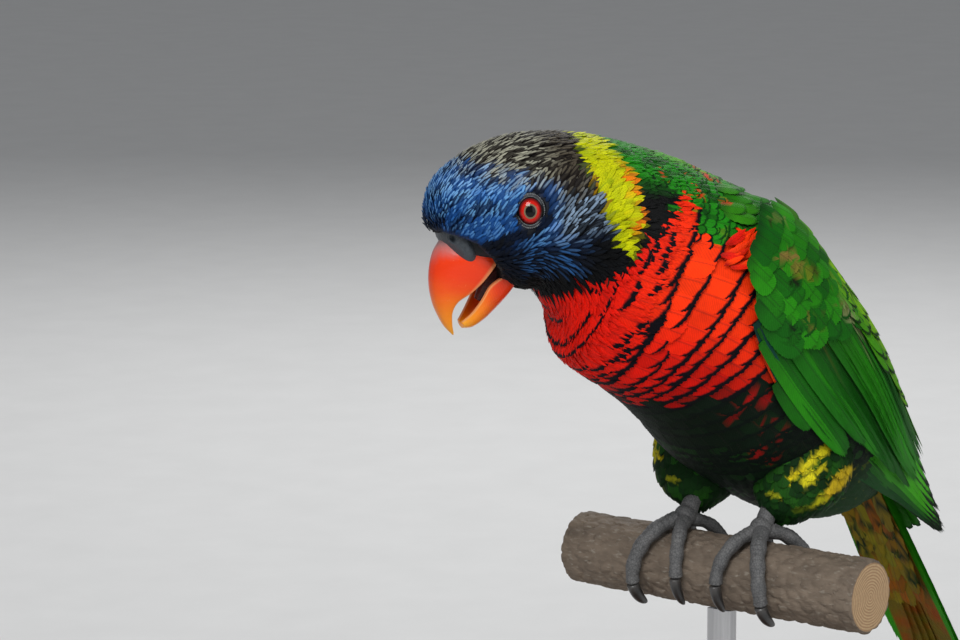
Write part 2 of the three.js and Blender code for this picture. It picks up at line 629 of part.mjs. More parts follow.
// Assembly
const MATERIALS = {
  blue_feathers: { color: 0x2a5aa8, roughness: 0.75, metalness: 0 },
  green_feathers: { color: 0x1f7a1c, roughness: 0.7, metalness: 0 },
  red_feathers: { color: 0xd8220f, roughness: 0.7, metalness: 0 },
  thigh_feathers: { color: 0x5d7a16, roughness: 0.75, metalness: 0 },
  tail_feathers: { color: 0x3f7d1c, roughness: 0.7, metalness: 0 },
  bill: { color: 0xe8500f, roughness: 0.35, metalness: 0 },
  tongue: { color: 0x30141a, roughness: 0.5, metalness: 0 },
  eye: { color: 0xb8130d, roughness: 0.08, metalness: 0 },
  foot_skin: { color: 0x6a6c70, roughness: 0.7, metalness: 0 },
  claw: { color: 0x2c2c2e, roughness: 0.4, metalness: 0 },
  stand_wood: { color: 0x6b4a2f, roughness: 0.6, metalness: 0 },
  stand_metal: { color: 0x8c8d90, roughness: 0.35, metalness: 1 },
  perch_bark: { color: 0x7a6650, roughness: 0.9, metalness: 0 },
};
const materials = Object.fromEntries(Object.entries(MATERIALS).map(([name, look]) =>
  [name, new THREE.MeshStandardMaterial(look)]));

const lorikeet = new THREE.Group();
function add(name, solid, material) {
  const { numProp, vertProperties, triVerts } = solid.getMesh();
  const position = new Float32Array((vertProperties.length / numProp) * 3);
  for (let i = 0; i < position.length / 3; i += 1) {
    position.set(vertProperties.subarray(i * numProp, i * numProp + 3), i * 3);
  }
  const geometry = new THREE.BufferGeometry();
  geometry.setAttribute('position', new THREE.BufferAttribute(position, 3));
  geometry.setIndex(new THREE.BufferAttribute(triVerts, 1));
  geometry.computeVertexNormals();
  const mesh = new THREE.Mesh(geometry, materials[material]);
  mesh.name = name;
  lorikeet.add(mesh);
}

const SIDES = [['left', 1], ['right', -1]];
add('head', headSolid(), 'blue_feathers');
add('neck', BODY.solid({ from: HEAD_END, to: NECK_END, around: 26, gap: GAP }), 'green_feathers');
let torso = torsoSolid();
for (const [, side] of SIDES) torso = torso.subtract(thighSolid(side, GAP));
add('torso', largestOf(torso), 'red_feathers');
add('tail', tailSolid(), 'tail_feathers');
add('bill_upper', upperBillSolid(), 'bill');
add('bill_lower', lowerBillSolid(), 'bill');
add('tongue', tongueSolid(), 'tongue');
for (const [name, side] of SIDES) {
  add(`eye_${name}`, eyeSolid(side), 'eye');
  add(`wing_${name}`, wingSolid(side), 'green_feathers');
  add(`thigh_${name}`, largestOf(thighSolid(side).subtract(footSolid(side, GAP))), 'thigh_feathers');
  add(`foot_${name}`, footSolid(side), 'foot_skin');
  TOES.forEach((toe, i) => add(`claw_${name}_${i + 1}`, clawSolid(side, toe), 'claw'));
}
add('stand_base', baseSolid(), 'stand_wood');
add('stand_post', postSolid(), 'stand_metal');
add('perch', perchSolid(), 'perch_bark');

export default lorikeet;
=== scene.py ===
import math

import bpy
import numpy as np
from mathutils import Matrix, Vector
from mathutils.kdtree import KDTree


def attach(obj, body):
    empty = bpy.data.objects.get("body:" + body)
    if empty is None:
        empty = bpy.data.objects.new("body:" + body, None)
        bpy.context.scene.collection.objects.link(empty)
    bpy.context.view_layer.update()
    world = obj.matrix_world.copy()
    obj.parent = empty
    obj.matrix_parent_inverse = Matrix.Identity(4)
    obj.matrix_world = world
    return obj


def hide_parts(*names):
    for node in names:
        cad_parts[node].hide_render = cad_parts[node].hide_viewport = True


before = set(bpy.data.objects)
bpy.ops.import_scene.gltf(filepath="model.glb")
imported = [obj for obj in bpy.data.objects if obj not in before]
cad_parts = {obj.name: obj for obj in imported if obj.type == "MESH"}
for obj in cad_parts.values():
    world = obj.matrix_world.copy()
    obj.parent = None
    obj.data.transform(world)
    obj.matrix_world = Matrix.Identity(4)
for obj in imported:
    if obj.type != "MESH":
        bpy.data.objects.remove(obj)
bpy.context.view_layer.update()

# Sizes are in millimetres and angles in degrees, until a mesh is made
MM = 0.001
RNG = np.random.default_rng(20)

# Driving places of the bird, as in its solids
UP = np.array([0.0, 0.0, 1.0])
NECK_ROOT = np.array([-9.5, 0.0, 170.0])
HEAD_CENTRE = NECK_ROOT + np.array([-39.6, 22.4, 16.3])
HEAD_TURN = math.radians(32)
HEADING = np.array([-math.cos(HEAD_TURN), math.sin(HEAD_TURN), 0.0])
HEAD_LEFT = np.cross(UP, HEADING)
SIDES = (("left", 1), ("right", -1))
PERCH = np.array([0.0, 0.0, 94.0])
PERCH_RADIUS = 9.0
PERCH_LENGTH = 84.0

# The cere's middle and lean, and the left nostril's place, in the head's frame
CERE_AT, CERE_LEAN = (16.6, -7.6), math.radians(62)
NOSTRIL = (19.2, -5.6, 5.2)

# The camera: its distance, its pixels for a millimetre, the picture's size, and its axes
VIEW_REACH, VIEW_SCALE = 900.0, 4.4
VIEW_FOCAL = VIEW_SCALE * VIEW_REACH
PICTURE_WIDE, PICTURE_TALL = 960, 640
VIEW_TURN, VIEW_LIFT = math.radians(-52), math.radians(10)
VIEW_RIGHT = np.array([math.cos(VIEW_TURN), math.sin(VIEW_TURN), 0])
VIEW_BACK = np.array([math.sin(VIEW_TURN) * math.cos(VIEW_LIFT), -math.cos(VIEW_TURN) * math.cos(VIEW_LIFT),
                      math.sin(VIEW_LIFT)])
VIEW_UP = np.cross(VIEW_BACK, VIEW_RIGHT)

# The camera's place follows from one point of the head: its depth in the view, and how many pixels it lies
# right of and above the middle of the picture
FITTED_POINT = NECK_ROOT - np.array([38, -25, -16])
FITTED_DEPTH = VIEW_REACH + 13
FITTED_RIGHT, FITTED_UP = 40, 115
VIEW_EYE = FITTED_POINT - FITTED_DEPTH * (
    (FITTED_RIGHT * VIEW_RIGHT + FITTED_UP * VIEW_UP) / VIEW_FOCAL - VIEW_BACK)


def head_point(forward, up, left=0.0):
    return HEAD_CENTRE + forward * HEADING + up * UP + left * HEAD_LEFT


def torso_point(x, z, right=0.0):
    return NECK_ROOT + np.array([x, right, z])


def unit(v):
    return v / np.maximum(np.linalg.norm(v, axis=-1, keepdims=True), 1e-9)


def turns(count):
    """Angles evenly round a circle."""
    return np.arange(count) * 2 * math.pi / count


def smooth(low, high, x):
    """0 below low and 1 above high, with a soft step between."""
    t = np.clip((x - low) / (high - low), 0, 1)
    return t * t * (3 - 2 * t)


def through(values, place):
    """A smooth course through a list of values, read at places in the list."""
    values = np.asarray(values, float)
    last = len(values) - 1
    i = np.clip(np.floor(place).astype(int), 0, last - 1)
    t = (place - i).reshape(np.shape(place) + (1,) * (values.ndim - 1))
    p0, p1, p2, p3 = (values[np.clip(i + k, 0, last)] for k in (-1, 0, 1, 2))
    m1, m2 = (p2 - p0) / 2, (p3 - p1) / 2
    return ((2 * t**3 - 3 * t**2 + 1) * p1 + (t**3 - 2 * t**2 + t) * m1
            + (3 * t**2 - 2 * t**3) * p2 + (t**3 - t**2) * m2)


# Surfaces that feathers lie on
class Surface:
    """A grid of points with its normals, read at a distance along it and a place across it."""

    def __init__(self, points, length, across, closed):
        self.points, self.length, self.across, self.closed = points, length, across, closed
        self.rows, self.columns = points.shape[:2]
        pitch = across / (self.columns if closed else self.columns - 1)
        self.along = np.gradient(points, length / (self.rows - 1), axis=0)
        if closed:
            wrapped = np.concatenate([points[:, -1:], points, points[:, :1]], 1)
            self.round = (wrapped[:, 2:] - wrapped[:, :-2]) / (2 * pitch)
        else:
            self.round = np.gradient(points, pitch, axis=1)
        self.normals = -unit(np.cross(self.along, self.round))

    def turned_outwards(self):
        """This surface, with its normals pointing away from the middles of its rows."""
        middle = self.points.mean(1, keepdims=True)
        if np.median(np.sum((self.points - middle) * self.normals, -1)) < 0:
            self.normals = -self.normals
        return self

    def look(self, table, s, a):
        x = np.asarray(s) / self.length * (self.rows - 1)
        i = np.clip(np.floor(x).astype(int), 0, self.rows - 2)
        if self.closed:
            y = (np.asarray(a) % self.across) / self.across * self.columns
            j = np.floor(y).astype(int) % self.columns
            k = (j + 1) % self.columns
            fy = (y - np.floor(y))[..., None]
        else:
            y = (np.asarray(a) / self.across + 0.5) * (self.columns - 1)
            j = np.clip(np.floor(y).astype(int), 0, self.columns - 2)
            k = j + 1
            fy = (y - j)[..., None]
        fx = (x - i)[..., None]
        return ((table[i, j] * (1 - fy) + table[i, k] * fy) * (1 - fx)
                + (table[i + 1, j] * (1 - fy) + table[i + 1, k] * fy) * fx)

    def at(self, s, a, lift=0.0):
        lift = np.asarray(lift, float)[..., None]
        return self.look(self.points, s, a) + unit(self.look(self.normals, s, a)) * lift

    def scales(self, s, a):
        """Millimetres for each step along, and for each step across."""
        return (np.maximum(np.linalg.norm(self.look(self.along, s, a), axis=-1), 0.35),
                np.maximum(np.linalg.norm(self.look(self.round, s, a), axis=-1), 0.05))


def body_form(stations, rows=420, columns=240):
    """A closed surface swept along a bent line. A station has its centre, its half width, and its reach
    towards the back and the belly. Across, it is read in degrees from the middle of the back, positive on
    the bird's left."""
    at = np.array([station[0] for station in stations])
    sizes = np.array([station[1:] for station in stations], float)
    last = len(stations) - 1
    places = np.linspace(0, last, last * 40 + 1)
    line = through(at, places)
    reached = np.concatenate([[0.0], np.cumsum(np.linalg.norm(np.diff(line, axis=0), axis=1))])
    place = np.interp(np.linspace(0, reached[-1], rows), reached, places)
    ahead = through(at, np.minimum(place + 0.05, last)) - through(at, np.maximum(place - 0.05, 0))
    along = unit(ahead)
    left = unit(np.stack([along[:, 1], -along[:, 0], 0 * along[:, 0]], 1))
    back = np.cross(left, along)
    wide, tall_back, tall_belly = through(sizes, place).T
    turn = np.radians(np.arange(columns) * 360 / columns)
    sine, cosine = np.sin(turn), np.cos(turn)
    tall = np.where(cosine > 0, tall_back[:, None], tall_belly[:, None])
    points = (through(at, place)[:, None] + left[:, None] * (wide[:, None] * sine)[..., None]
              + back[:, None] * (tall * cosine)[..., None])
    return Surface(points, reached[-1], 360.0, True).turned_outwards()


BODY = body_form([
    (head_point(20.6, -12.0), 3.0, 5.6, 2.0), (head_point(19.2, -11.3), 7.6, 11.0, 4.0),
    (head_point(15.8, -9.5), 11.6, 15.9, 7.6), (head_point(9.5, -6.1), 14.0, 19.0, 14.6),
    (head_point(0.6, -2.6), 15.4, 19.4, 18.2), (head_point(-10.0, -2.2), 17.0, 18.6, 25.6),
    (head_point(-20.0, -4.6), 22.0, 18.6, 33.0), (torso_point(-12.6, 5.9, 4.9), 25.5, 20.2, 35.0),
    (torso_point(-1.2, -3, 1.2), 28.5, 22.5, 34.6), (torso_point(12, -15), 29.6, 21.2, 33.0),
    (torso_point(25, -28), 29.6, 21.2, 31.0), (torso_point(39, -41), 26.5, 20.0, 26.0),
    (torso_point(52, -51), 20.0, 17.0, 20.5), (torso_point(64, -58), 12.5, 11.0, 13.0),
    (torso_point(72, -63), 7.0, 6.0, 7.0),
])
WING = body_form([
    (torso_point(-17, 11), 25.5, 20.2, 27.0), (torso_point(-2, -1), 29.2, 22.6, 33.2),
    (torso_point(12, -15), 30.4, 22.0, 33.8), (torso_point(25, -28), 30.4, 22.0, 31.8),
    (torso_point(39, -41), 27.3, 20.8, 26.8), (torso_point(53, -52), 22.5, 19.5, 21.0),
    (torso_point(67, -62), 18.0, 16.5, 16.5), (torso_point(80, -72), 14.5, 14.0, 13.5),
    (torso_point(94, -83), 12.5, 12.5, 12.0), (torso_point(107, -94), 11.5, 11.5, 11.0),
])

# The tail's arched plane
TAIL_ROOT = torso_point(70.5, -60)
TAIL_DROP = math.radians(53)
TAIL_LENGTH = 110.0
TAIL_START = 6.0  # how far the surface reaches back into the body
TAIL_ARCH = 42.0
TAIL_ALONG = np.array([math.cos(TAIL_DROP), 0, -math.sin(TAIL_DROP)])
TAIL_BACK = np.array([math.sin(TAIL_DROP), 0, math.cos(TAIL_DROP)])


def tail_surface(rows=60, columns=31, reach=30.0):
    d = np.linspace(-TAIL_START, TAIL_LENGTH, rows)[:, None, None]
    out = np.linspace(-reach / 2, reach / 2, columns)[None, :, None]
    arched = out**2 / (2 * TAIL_ARCH) * TAIL_BACK
    points = TAIL_ROOT + d * TAIL_ALONG + out * np.array([0, -1, 0]) - arched
    return Surface(points, TAIL_LENGTH + TAIL_START, reach, False)


TAIL = tail_surface()
if TAIL.normals[10, 15] @ TAIL_BACK < 0:
    TAIL.normals = -TAIL.normals


THIGH_LENGTH = 40.0


def thigh_surface(side, rows=60, columns=72):
    """The feathered thigh: level rings from top to bottom."""
    rings = np.array([  # height, middle, outwards, and half widths
        (-26, 20, 12, 5, 5), (-32, 21, 13, 10, 9), (-40, 22, 14, 12.5, 11), (-48, 22, 14.5, 13, 11.5),
        (-55, 21, 14.5, 12, 11), (-59.5, 19.5, 14, 9, 8.5), (-62.2, 18, 13.2, 5, 5)])
    place = np.linspace(0, len(rings) - 1, rows)
    up, x, out, long, wide = through(rings, place).T[:, :, None]
    turn = np.radians(np.arange(columns) * 360 / columns)[None]
    points = NECK_ROOT + np.stack([x + long * np.cos(turn), -side * (out + wide * np.sin(turn)),
                                   up + 0 * turn], -1)
    return Surface(points, THIGH_LENGTH, 360.0, True).turned_outwards()


# Meshes from arrays
def mesh_piece(name, points, faces, material, uvs=None, fields=None, sharp=50):
    """An object of triangles. Uvs and fields are given for each point."""
    mesh = bpy.data.meshes.new(name)
    faces = np.asarray(faces, np.int32)
    mesh.vertices.add(len(points))
    mesh.vertices.foreach_set("co", (np.asarray(points) * MM).astype(np.float32).ravel())
    mesh.loops.add(faces.size)
    mesh.loops.foreach_set("vertex_index", faces.ravel())
    mesh.polygons.add(len(faces))
    mesh.polygons.foreach_set("loop_start", np.arange(0, faces.size, faces.shape[1], dtype=np.int32))
    mesh.polygons.foreach_set("use_smooth", np.ones(len(faces), bool))
    mesh.update(calc_edges=True)
    for key, values in (uvs or {}).items():
        layer = mesh.uv_layers.new(name=key)
        layer.data.foreach_set("uv", np.asarray(values)[faces.ravel()].astype(np.float32).ravel())
    for key, values in (fields or {}).items():
        values = np.asarray(values, np.float32)
        if values.shape[1] == 4:
            mesh.attributes.new(key, "FLOAT_COLOR", "POINT").data.foreach_set("color", values.ravel())
        else:
            mesh.attributes.new(key, "FLOAT_VECTOR", "POINT").data.foreach_set("vector", values.ravel())
    if sharp:
        mesh.set_sharp_from_angle(angle=math.radians(sharp))
    mesh.materials.append(material)
    piece = bpy.data.objects.new(name, mesh)
    bpy.context.scene.collection.objects.link(piece)
    return piece


def fitted(piece, slot, *nodes):
    """The piece rides the root body and stands for nodes of the solids. Its slot is not used."""
    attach(piece, "root")
    if nodes:
        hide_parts(*nodes)


def grid_faces(rows, columns, closed=False):
    """Quads of a grid of points in rows, joined up across where it is closed."""
    i, j = np.meshgrid(np.arange(rows - 1), np.arange(columns if closed else columns - 1), indexing="ij")
    k = (j + 1) % columns
    return np.stack([i * columns + j, i * columns + k, (i + 1) * columns + k, (i + 1) * columns + j],
                    -1).reshape(-1, 4)


# Shader maths
class Wire:
    """A socket whose arithmetic adds Math nodes."""

    def __init__(self, paint, socket):
        self.paint, self.socket = paint, socket

    def math(self, operation, *others):
        return self.paint.node("ShaderNodeMath", {"operation": operation}, [self, *others])[0]

    def __add__(self, other):
        return self.math("ADD", other)

    __radd__ = __add__

    def __mul__(self, other):
        return self.math("MULTIPLY", other)

    __rmul__ = __mul__

    def __sub__(self, other):
        return self.math("SUBTRACT", other)

    def __rsub__(self, other):
        return self.paint.node("ShaderNodeMath", {"operation": "SUBTRACT"}, [other, self])[0]

    def __pow__(self, other):
        return self.math("POWER", other)

    def step(self, low, high):
        """0 where this is low and 1 where it is high, softly. Low may be above high."""
        settings = {"interpolation_type": "SMOOTHSTEP"}
        return self.paint.node("ShaderNodeMapRange", settings, {"Value": self, 1: low, 2: high})[0]


class Paint:
    """A material's node tree."""

    def __init__(self, name, **fixed):
        self.material = bpy.data.materials.new(name)
        self.material.use_nodes = True
        self.tree = self.material.node_tree
        self.shader = self.tree.nodes["Principled BSDF"]
        for key, value in fixed.items():
            self.shader.inputs[key.replace("_", " ")].default_value = value

    def node(self, kind, settings=None, inputs=()):
        """A node's outputs, after its settings and then its sockets are set. A ramp's stops are a list of
        (place, colour)."""
        node = self.tree.nodes.new(kind)
        for key, value in (settings or {}).items():
            if key == "stops":
                ramp = node.color_ramp
                while len(ramp.elements) < len(value):
                    ramp.elements.new(0.5)
                for element, (place, colour) in zip(ramp.elements, value):
                    element.position = place
                    element.color = colour
            else:
                setattr(node, key, value)
        pairs = inputs.items() if isinstance(inputs, dict) else enumerate(inputs)
        for key, value in pairs:
            self.feed(node.inputs[key], value)
        return [Wire(self, socket) for socket in node.outputs]

    def feed(self, socket, value):
        if isinstance(value, Wire):
            self.tree.links.new(value.socket, socket)
        else:
            socket.default_value = value

    def mix(self, factor, first, second, blend="MIX"):
        """A colour between two colours."""
        node = self.tree.nodes.new("ShaderNodeMix")
        node.data_type = "RGBA"
        node.blend_type = blend
        for key, value in ((0, factor), (6, first), (7, second)):
            self.feed(node.inputs[key], value)
        return Wire(self, node.outputs[2])

    def field(self, name):
        """A mesh attribute: its colour, vector and value."""
        return self.node("ShaderNodeAttribute", {"attribute_name": name})

    def joined(self, x, y, z):
        return self.node("ShaderNodeCombineXYZ", None, [x, y, z])[0]

    def split(self, vector):
        return self.node("ShaderNodeSeparateXYZ", None, [vector])

    def place(self):
        """The point on the piece, in metres."""
        return self.node("ShaderNodeTexCoord")[3]

    def noise(self, scale, detail=3.0, rough=0.55, vector=None, distortion=0.0):
        sockets = {"Vector": vector or self.place(), "Scale": scale, "Detail": detail,
                   "Roughness": rough, "Distortion": distortion}
        return self.node("ShaderNodeTexNoise", None, sockets)

    def bump(self, height, distance, strength=1.0):
        sockets = {"Height": height, "Distance": distance, "Strength": strength}
        return self.node("ShaderNodeBump", None, sockets)[0]

    def set(self, **links):
        for key, value in links.items():
            self.feed(self.shader.inputs[key.replace("_", " ")], value)
        return self.material


def colour(red, green, blue):
    return (red, green, blue, 1.0)


def facing_out(points, faces):
    """The points and faces of a closed shape, with its faces turned outwards."""
    a, b, c = (points[faces[:, i]] for i in range(3))
    volume = np.einsum("ij,ij->", a, np.cross(b, c))
    return points, faces if volume > 0 else faces[:, ::-1]


# Feather patterns. Each point has a place along the feather, a place across it, and a height.
def feather_pattern(locks, tip_round, broadest, serration, seed, root=0.35):
    """A closed vane of barb locks on both sides of a shaft, thin at its outline. Broadest is the place of its
    greatest width, and root its width at the root as a share of that."""
    rng = np.random.default_rng(seed)
    turn = np.linspace(0, math.pi, locks + 1)
    outline_u = broadest + (1 - broadest) * np.maximum(np.cos(turn), 0) ** tip_round \
        + broadest * np.minimum(np.cos(turn), 0)
    outline_v = np.sin(turn) ** 0.85
    outline_v = np.where(turn > math.pi / 2, root + (1 - root) * np.sin(turn), outline_v)
    points, faces = [], []

    def add(u, v, w):
        points.append((u, v, w))
        return len(points) - 1

    shaft_u = np.clip(outline_u - 0.3 * np.sin(turn) ** 0.7, 0, 1)
    high = np.where(np.sin(turn) > 1e-6, 1.0, 0.0)
    upper = [add(u, 0, w) for u, w in zip(shaft_u, high)]
    lower = [add(u, 0, -0.6) for u in shaft_u[1:-1]]
    lower = [upper[0], *lower, upper[-1]]
    for side in (1, -1):
        rim = [upper[0]]
        rim += [add(u, side * v * (1 - serration), 0) for u, v in zip(outline_u[1:-1], outline_v[1:-1])]
        rim.append(upper[-1])
        for i in range(locks):
            u = (outline_u[i] + outline_u[i + 1]) / 2 + 0.012 * rng.normal()
            v = (outline_v[i] + outline_v[i + 1]) / 2
            push = 1 + serration * rng.uniform(0.2, 1.6)
            tip = add(broadest + (u - broadest) * (1 + 0.4 * serration * rng.uniform(0, 2)) + 0.02,
                      side * v * push, 0)
            for line, flip in ((upper, side < 0), (lower, side > 0)):
                made = [(line[i], rim[i], tip), (line[i], tip, rim[i + 1]),
                        (line[i], rim[i + 1], line[i + 1])]
                if i == 0:
                    made = [(line[1], line[0], tip), (line[1], tip, rim[1])]
                for a, b, c in made:
                    if len({a, b, c}) == 3:
                        faces.append((a, c, b) if flip else (a, b, c))
    return facing_out(np.array(points), np.array(faces))


def hackle_pattern(stations):
    """A narrow closed vane with a raised shaft. Stations are places along it and half widths."""
    points, faces = [(0.0, 0.0, 0.0)], []
    for u, v in stations:
        points += [(u, v, 0.0), (u, 0.0, 1.0), (u, -v, 0.0), (u, 0.0, -0.5)]
    points.append((1.0, 0.0, 0.0))
    for k in range(4):
        m = (k + 1) % 4
        faces.append((0, 1 + k, 1 + m))
        for i in range(len(stations) - 1):
            a, b = 1 + 4 * i, 5 + 4 * i
            faces += [(a + k, b + k, b + m), (a + k, b + m, a + m)]
        end = 1 + 4 * (len(stations) - 1)
        faces.append((end + k, len(points) - 1, end + m))
    return facing_out(np.array(points), np.array(faces))


# Each kind of feather has its own range of seeds
BODY_FEATHERS = [feather_pattern(9, 0.75, 0.55, 0.06, seed) for seed in range(5)]
BREAST_FEATHERS = [feather_pattern(11, 0.42, 0.6, 0.035, seed, root=0.45) for seed in range(30, 35)]
COVERT_FEATHERS = [feather_pattern(16, 0.7, 0.6, 0.022, seed) for seed in range(10, 14)]
FLIGHT_FEATHERS = [feather_pattern(40, 0.9, 0.62, 0.012, seed, root=0.5) for seed in range(20, 24)]
HACKLES = [hackle_pattern([(0.1, 0.5), (0.4, 1.0), (0.75, 0.72)]),
           hackle_pattern([(0.08, 0.6), (0.35, 1.0), (0.7, 0.8), (0.9, 0.4)])]
BAKE_PATCH = 0.003  # the width of a feather's patch in the bake's map


def baked_at(along, across):
    """The place in the bake's map for shares along and across a surface."""
    return np.stack([along * 0.9 + 0.03, across * 0.9 + 0.03], 1) / np.array([1, 2])


class Coat:
    """Feathers laid on surfaces, gathered for one piece."""

    def __init__(self, name, patterns, slot):
        self.name, self.patterns, self.slot = name, patterns, slot
        self.parts = []

    def lay(self, surface, s, a, *, length, width, turn=0.0, bend=0.0, lift=0.0, rise=0.8, thick=0.12,
            cup=0.15, ground, mark, look, roll=0.0, tip_arch=0.42, strokes=()):
        """Roots at s and a. Rise is how far the tip stands over the root, cup how far the edges fall, roll
        lifts one edge, and look holds the tip band's depth, the shaft streak, and a random number. Strokes
        are painted over the ground."""
        n = len(s)
        full = lambda x: np.broadcast_to(np.asarray(x, float), (n,))
        length, width, turn, bend = full(length), full(width), np.radians(full(turn)), full(bend)
        lift, rise, thick, cup = full(lift), full(rise), full(thick), full(cup)
        roll = full(roll)
        kind = RNG.integers(0, len(self.patterns), n)
        here = surface.at(s[:1], a[:1])
        ahead = surface.at(s[:1] + 0.2, a[:1]) - here
        beside = surface.at(s[:1], a[:1] + 0.2 / surface.scales(s[:1], a[:1])[1]) - here
        outward = surface.at(s[:1], a[:1], 1.0) - here
        right = np.sum(np.cross(ahead, beside) * outward) > 0
        for k, (points, faces) in enumerate(self.patterns):
            pick = np.nonzero(kind == k)[0]
            if not len(pick):
                continue
            faces = faces if right else faces[:, ::-1]
            u, v, w = (points[None, :, i] for i in range(3))
            col = lambda x: x[pick][:, None]
            off = v * col(width) / 2
            run = u * col(length)
            cosine, sine = np.cos(col(turn)), np.sin(col(turn))
            side = off + col(bend) * col(length) * u * u
            forward = run * cosine - side * sine
            across = run * sine + side * cosine
            along_scale, across_scale = surface.scales(s[pick], a[pick])
            height = (col(lift) + col(rise) * u + w * col(thick) * (1 - 0.5 * u)
                      - col(cup) * v * v + col(roll) * v)
            place = surface.at(s[pick][:, None] + forward / along_scale[:, None],
                               a[pick][:, None] + across / across_scale[:, None], height)
            count, corners = len(pick), len(points)
            place = place.reshape(-1, 3)
            tone = np.repeat(ground[pick], corners, 0)
            if strokes:
                tone = stroked(place, tone, strokes)
            sheet = baked_at(s[pick] / surface.length, (a[pick] % surface.across) / surface.across)[:, None]
            patch = np.stack([v + 0 * u, u * 2 - 1 + 0 * v], -1) * BAKE_PATCH / 2
            starts = np.arange(count)[:, None, None] * corners
            self.parts.append({
                "points": place,
                "faces": (faces[None] + starts).reshape(-1, 3),
                "vane": np.broadcast_to(np.stack([v, u], -1), (count, corners, 2)).reshape(-1, 2),
                "bake": (sheet + patch).reshape(-1, 2),
                "size": np.repeat(np.stack([width, length, full(tip_arch)], 1)[pick], corners, 0),
                "ground": tone,
                "mark": np.repeat(mark[pick], corners, 0),
                "look": np.repeat(look[pick], corners, 0),
            })

    def piece(self, material, *nodes):
        """One piece of all that was laid, which stands for the nodes."""
        starts = np.cumsum([0] + [len(part["points"]) for part in self.parts])
        gather = lambda key: np.concatenate([part[key] for part in self.parts])
        faces = np.concatenate([part["faces"] + start for part, start in zip(self.parts, starts)])
        made = mesh_piece(self.name, gather("points"), faces, material,
                          {"vane": gather("vane"), "OFBake": gather("bake")},
                          {key: gather(key) for key in ("size", "ground", "mark", "look")})
        fitted(made, self.slot, *nodes)


def sown(surface, s_range, a_range, spacing, smallest, seed, keep):
    """Evenly strewn places on a surface, in no rows: none nearer to another than the spacing there."""
    rng = np.random.default_rng(seed)
    along, across = surface.scales(
        *np.meshgrid(np.linspace(*s_range, 40), np.linspace(*a_range, 40), indexing="ij"))
    area = np.mean(along * across) * (s_range[1] - s_range[0]) * (a_range[1] - a_range[0])
    tries = int(6 * area / smallest**2)
    s = rng.uniform(*s_range, tries)
    a = rng.uniform(*a_range, tries)
    along, across = surface.scales(s, a)
    likely = along * across
    kept = rng.uniform(0, likely.max(), tries) < likely
    s, a = s[kept], a[kept]
    inside = keep(s, a)
    s, a = s[inside], a[inside]
    points = surface.at(s, a)
    radius = spacing(s)
    cells, taken = {}, []
    keys = np.floor(points / float(radius.max())).astype(int)
    for n in range(len(s)):
        x, y, z = keys[n]
        near = [m for dx in (-1, 0, 1) for dy in (-1, 0, 1) for dz in (-1, 0, 1)
                for m in cells.get((x + dx, y + dy, z + dz), ())]
        if near:
            gap = points[near] - points[n]
            if np.min(np.einsum("ij,ij->i", gap, gap)) < radius[n] ** 2:
                continue
        cells.setdefault((x, y, z), []).append(n)
        taken.append(n)
    return s[taken], a[taken]


def in_rows(surface, rows, a_range, apart, seed, jitter=0.16, keep=None):
    """Places in rows round a surface: the rows' distances, and how far apart the places of a row are."""
    rng = np.random.default_rng(seed)
    all_s, all_a = [], []
    for i, (s, pitch) in enumerate(zip(rows, np.gradient(rows))):
        steps = np.linspace(*a_range, 200)
        across = surface.scales(np.full(200, s), steps)[1]
        reached = np.concatenate([[0.0], np.cumsum((across[1:] + across[:-1]) / 2 * np.diff(steps))])
        count = max(int(reached[-1] / apart), 1)
        spots = np.arange(count) + 0.5 * (i % 2) + rng.uniform(-jitter, jitter, count)
        spots = spots * reached[-1] / count
        all_a.append(np.interp(spots, reached, steps))
        all_s.append(np.full(count, s) + rng.normal(0, jitter * pitch, count))
    s, a = np.concatenate(all_s), np.concatenate(all_a)
    s = np.clip(s, 0.05, surface.length - 0.05)
    if keep is not None:
        inside = keep(s, a)
        s, a = s[inside], a[inside]
    return s, a


# Colours of the plumage, as screen colours
def tint(code):
    """A screen colour such as 2a5aa8 as the linear one that shaders use."""
    parts = np.array([int(code[i:i + 2], 16) / 255 for i in (0, 2, 4)])
    linear = np.where(parts <= 0.04045, parts / 12.92, ((parts + 0.055) / 1.055) ** 2.4)
    return np.append(linear, 1.0)


BLUE, BLUE_DEEP, STREAK_BLUE = tint("12407c"), tint("0a2448"), tint("6aa6dc")
CROWN, STREAK_GREY = tint("120c09"), tint("a8a794")
EAR, STREAK_EAR = tint("0b0f14"), tint("8ba3bd")
CHEEK, STREAK_CHEEK = tint("060d1a"), tint("3470b4")
BLACK, SHEEN_BLACK = tint("050607"), tint("121a24")
YELLOW, YELLOW_DEEP, ORANGE = tint("bcc000"), tint("9aa800"), tint("dd5a06")
GREEN, GREEN_DARK, GREEN_LIGHT = tint("1c7a12"), tint("083a08"), tint("6db80c")
RED, RED_DEEP, SCARLET = tint("dc1606"), tint("a00503"), tint("ff3c08")
BAR = tint("08050c")
BELLY = tint("07180c")


def blend(first, second, share):
    share = np.asarray(share)[..., None]
    return first * (1 - share) + second * share


def plain_tint(shade, n):
    return np.tile(shade, (n, 1))


def wave(points, size, seed):
    """A smooth random value from about -1 to 1 that changes over about a size, the same at one place."""
    rng = np.random.default_rng(seed)
    total = 0
    for _ in range(6):
        heading = unit(rng.normal(size=3))
        total = total + np.sin(points @ heading * (rng.uniform(0.7, 1.5) * 2 * math.pi / size)
                               + rng.uniform(0, 2 * math.pi))
    return total / 3.0


def projected(points):
    """Where points lie in the camera's view, in pixels."""
    near = points - VIEW_EYE
    depth = -(near @ VIEW_BACK)
    return np.stack([PICTURE_WIDE / 2 + VIEW_FOCAL * (near @ VIEW_RIGHT) / depth,
                     PICTURE_TALL / 2 - VIEW_FOCAL * (near @ VIEW_UP) / depth], 1)


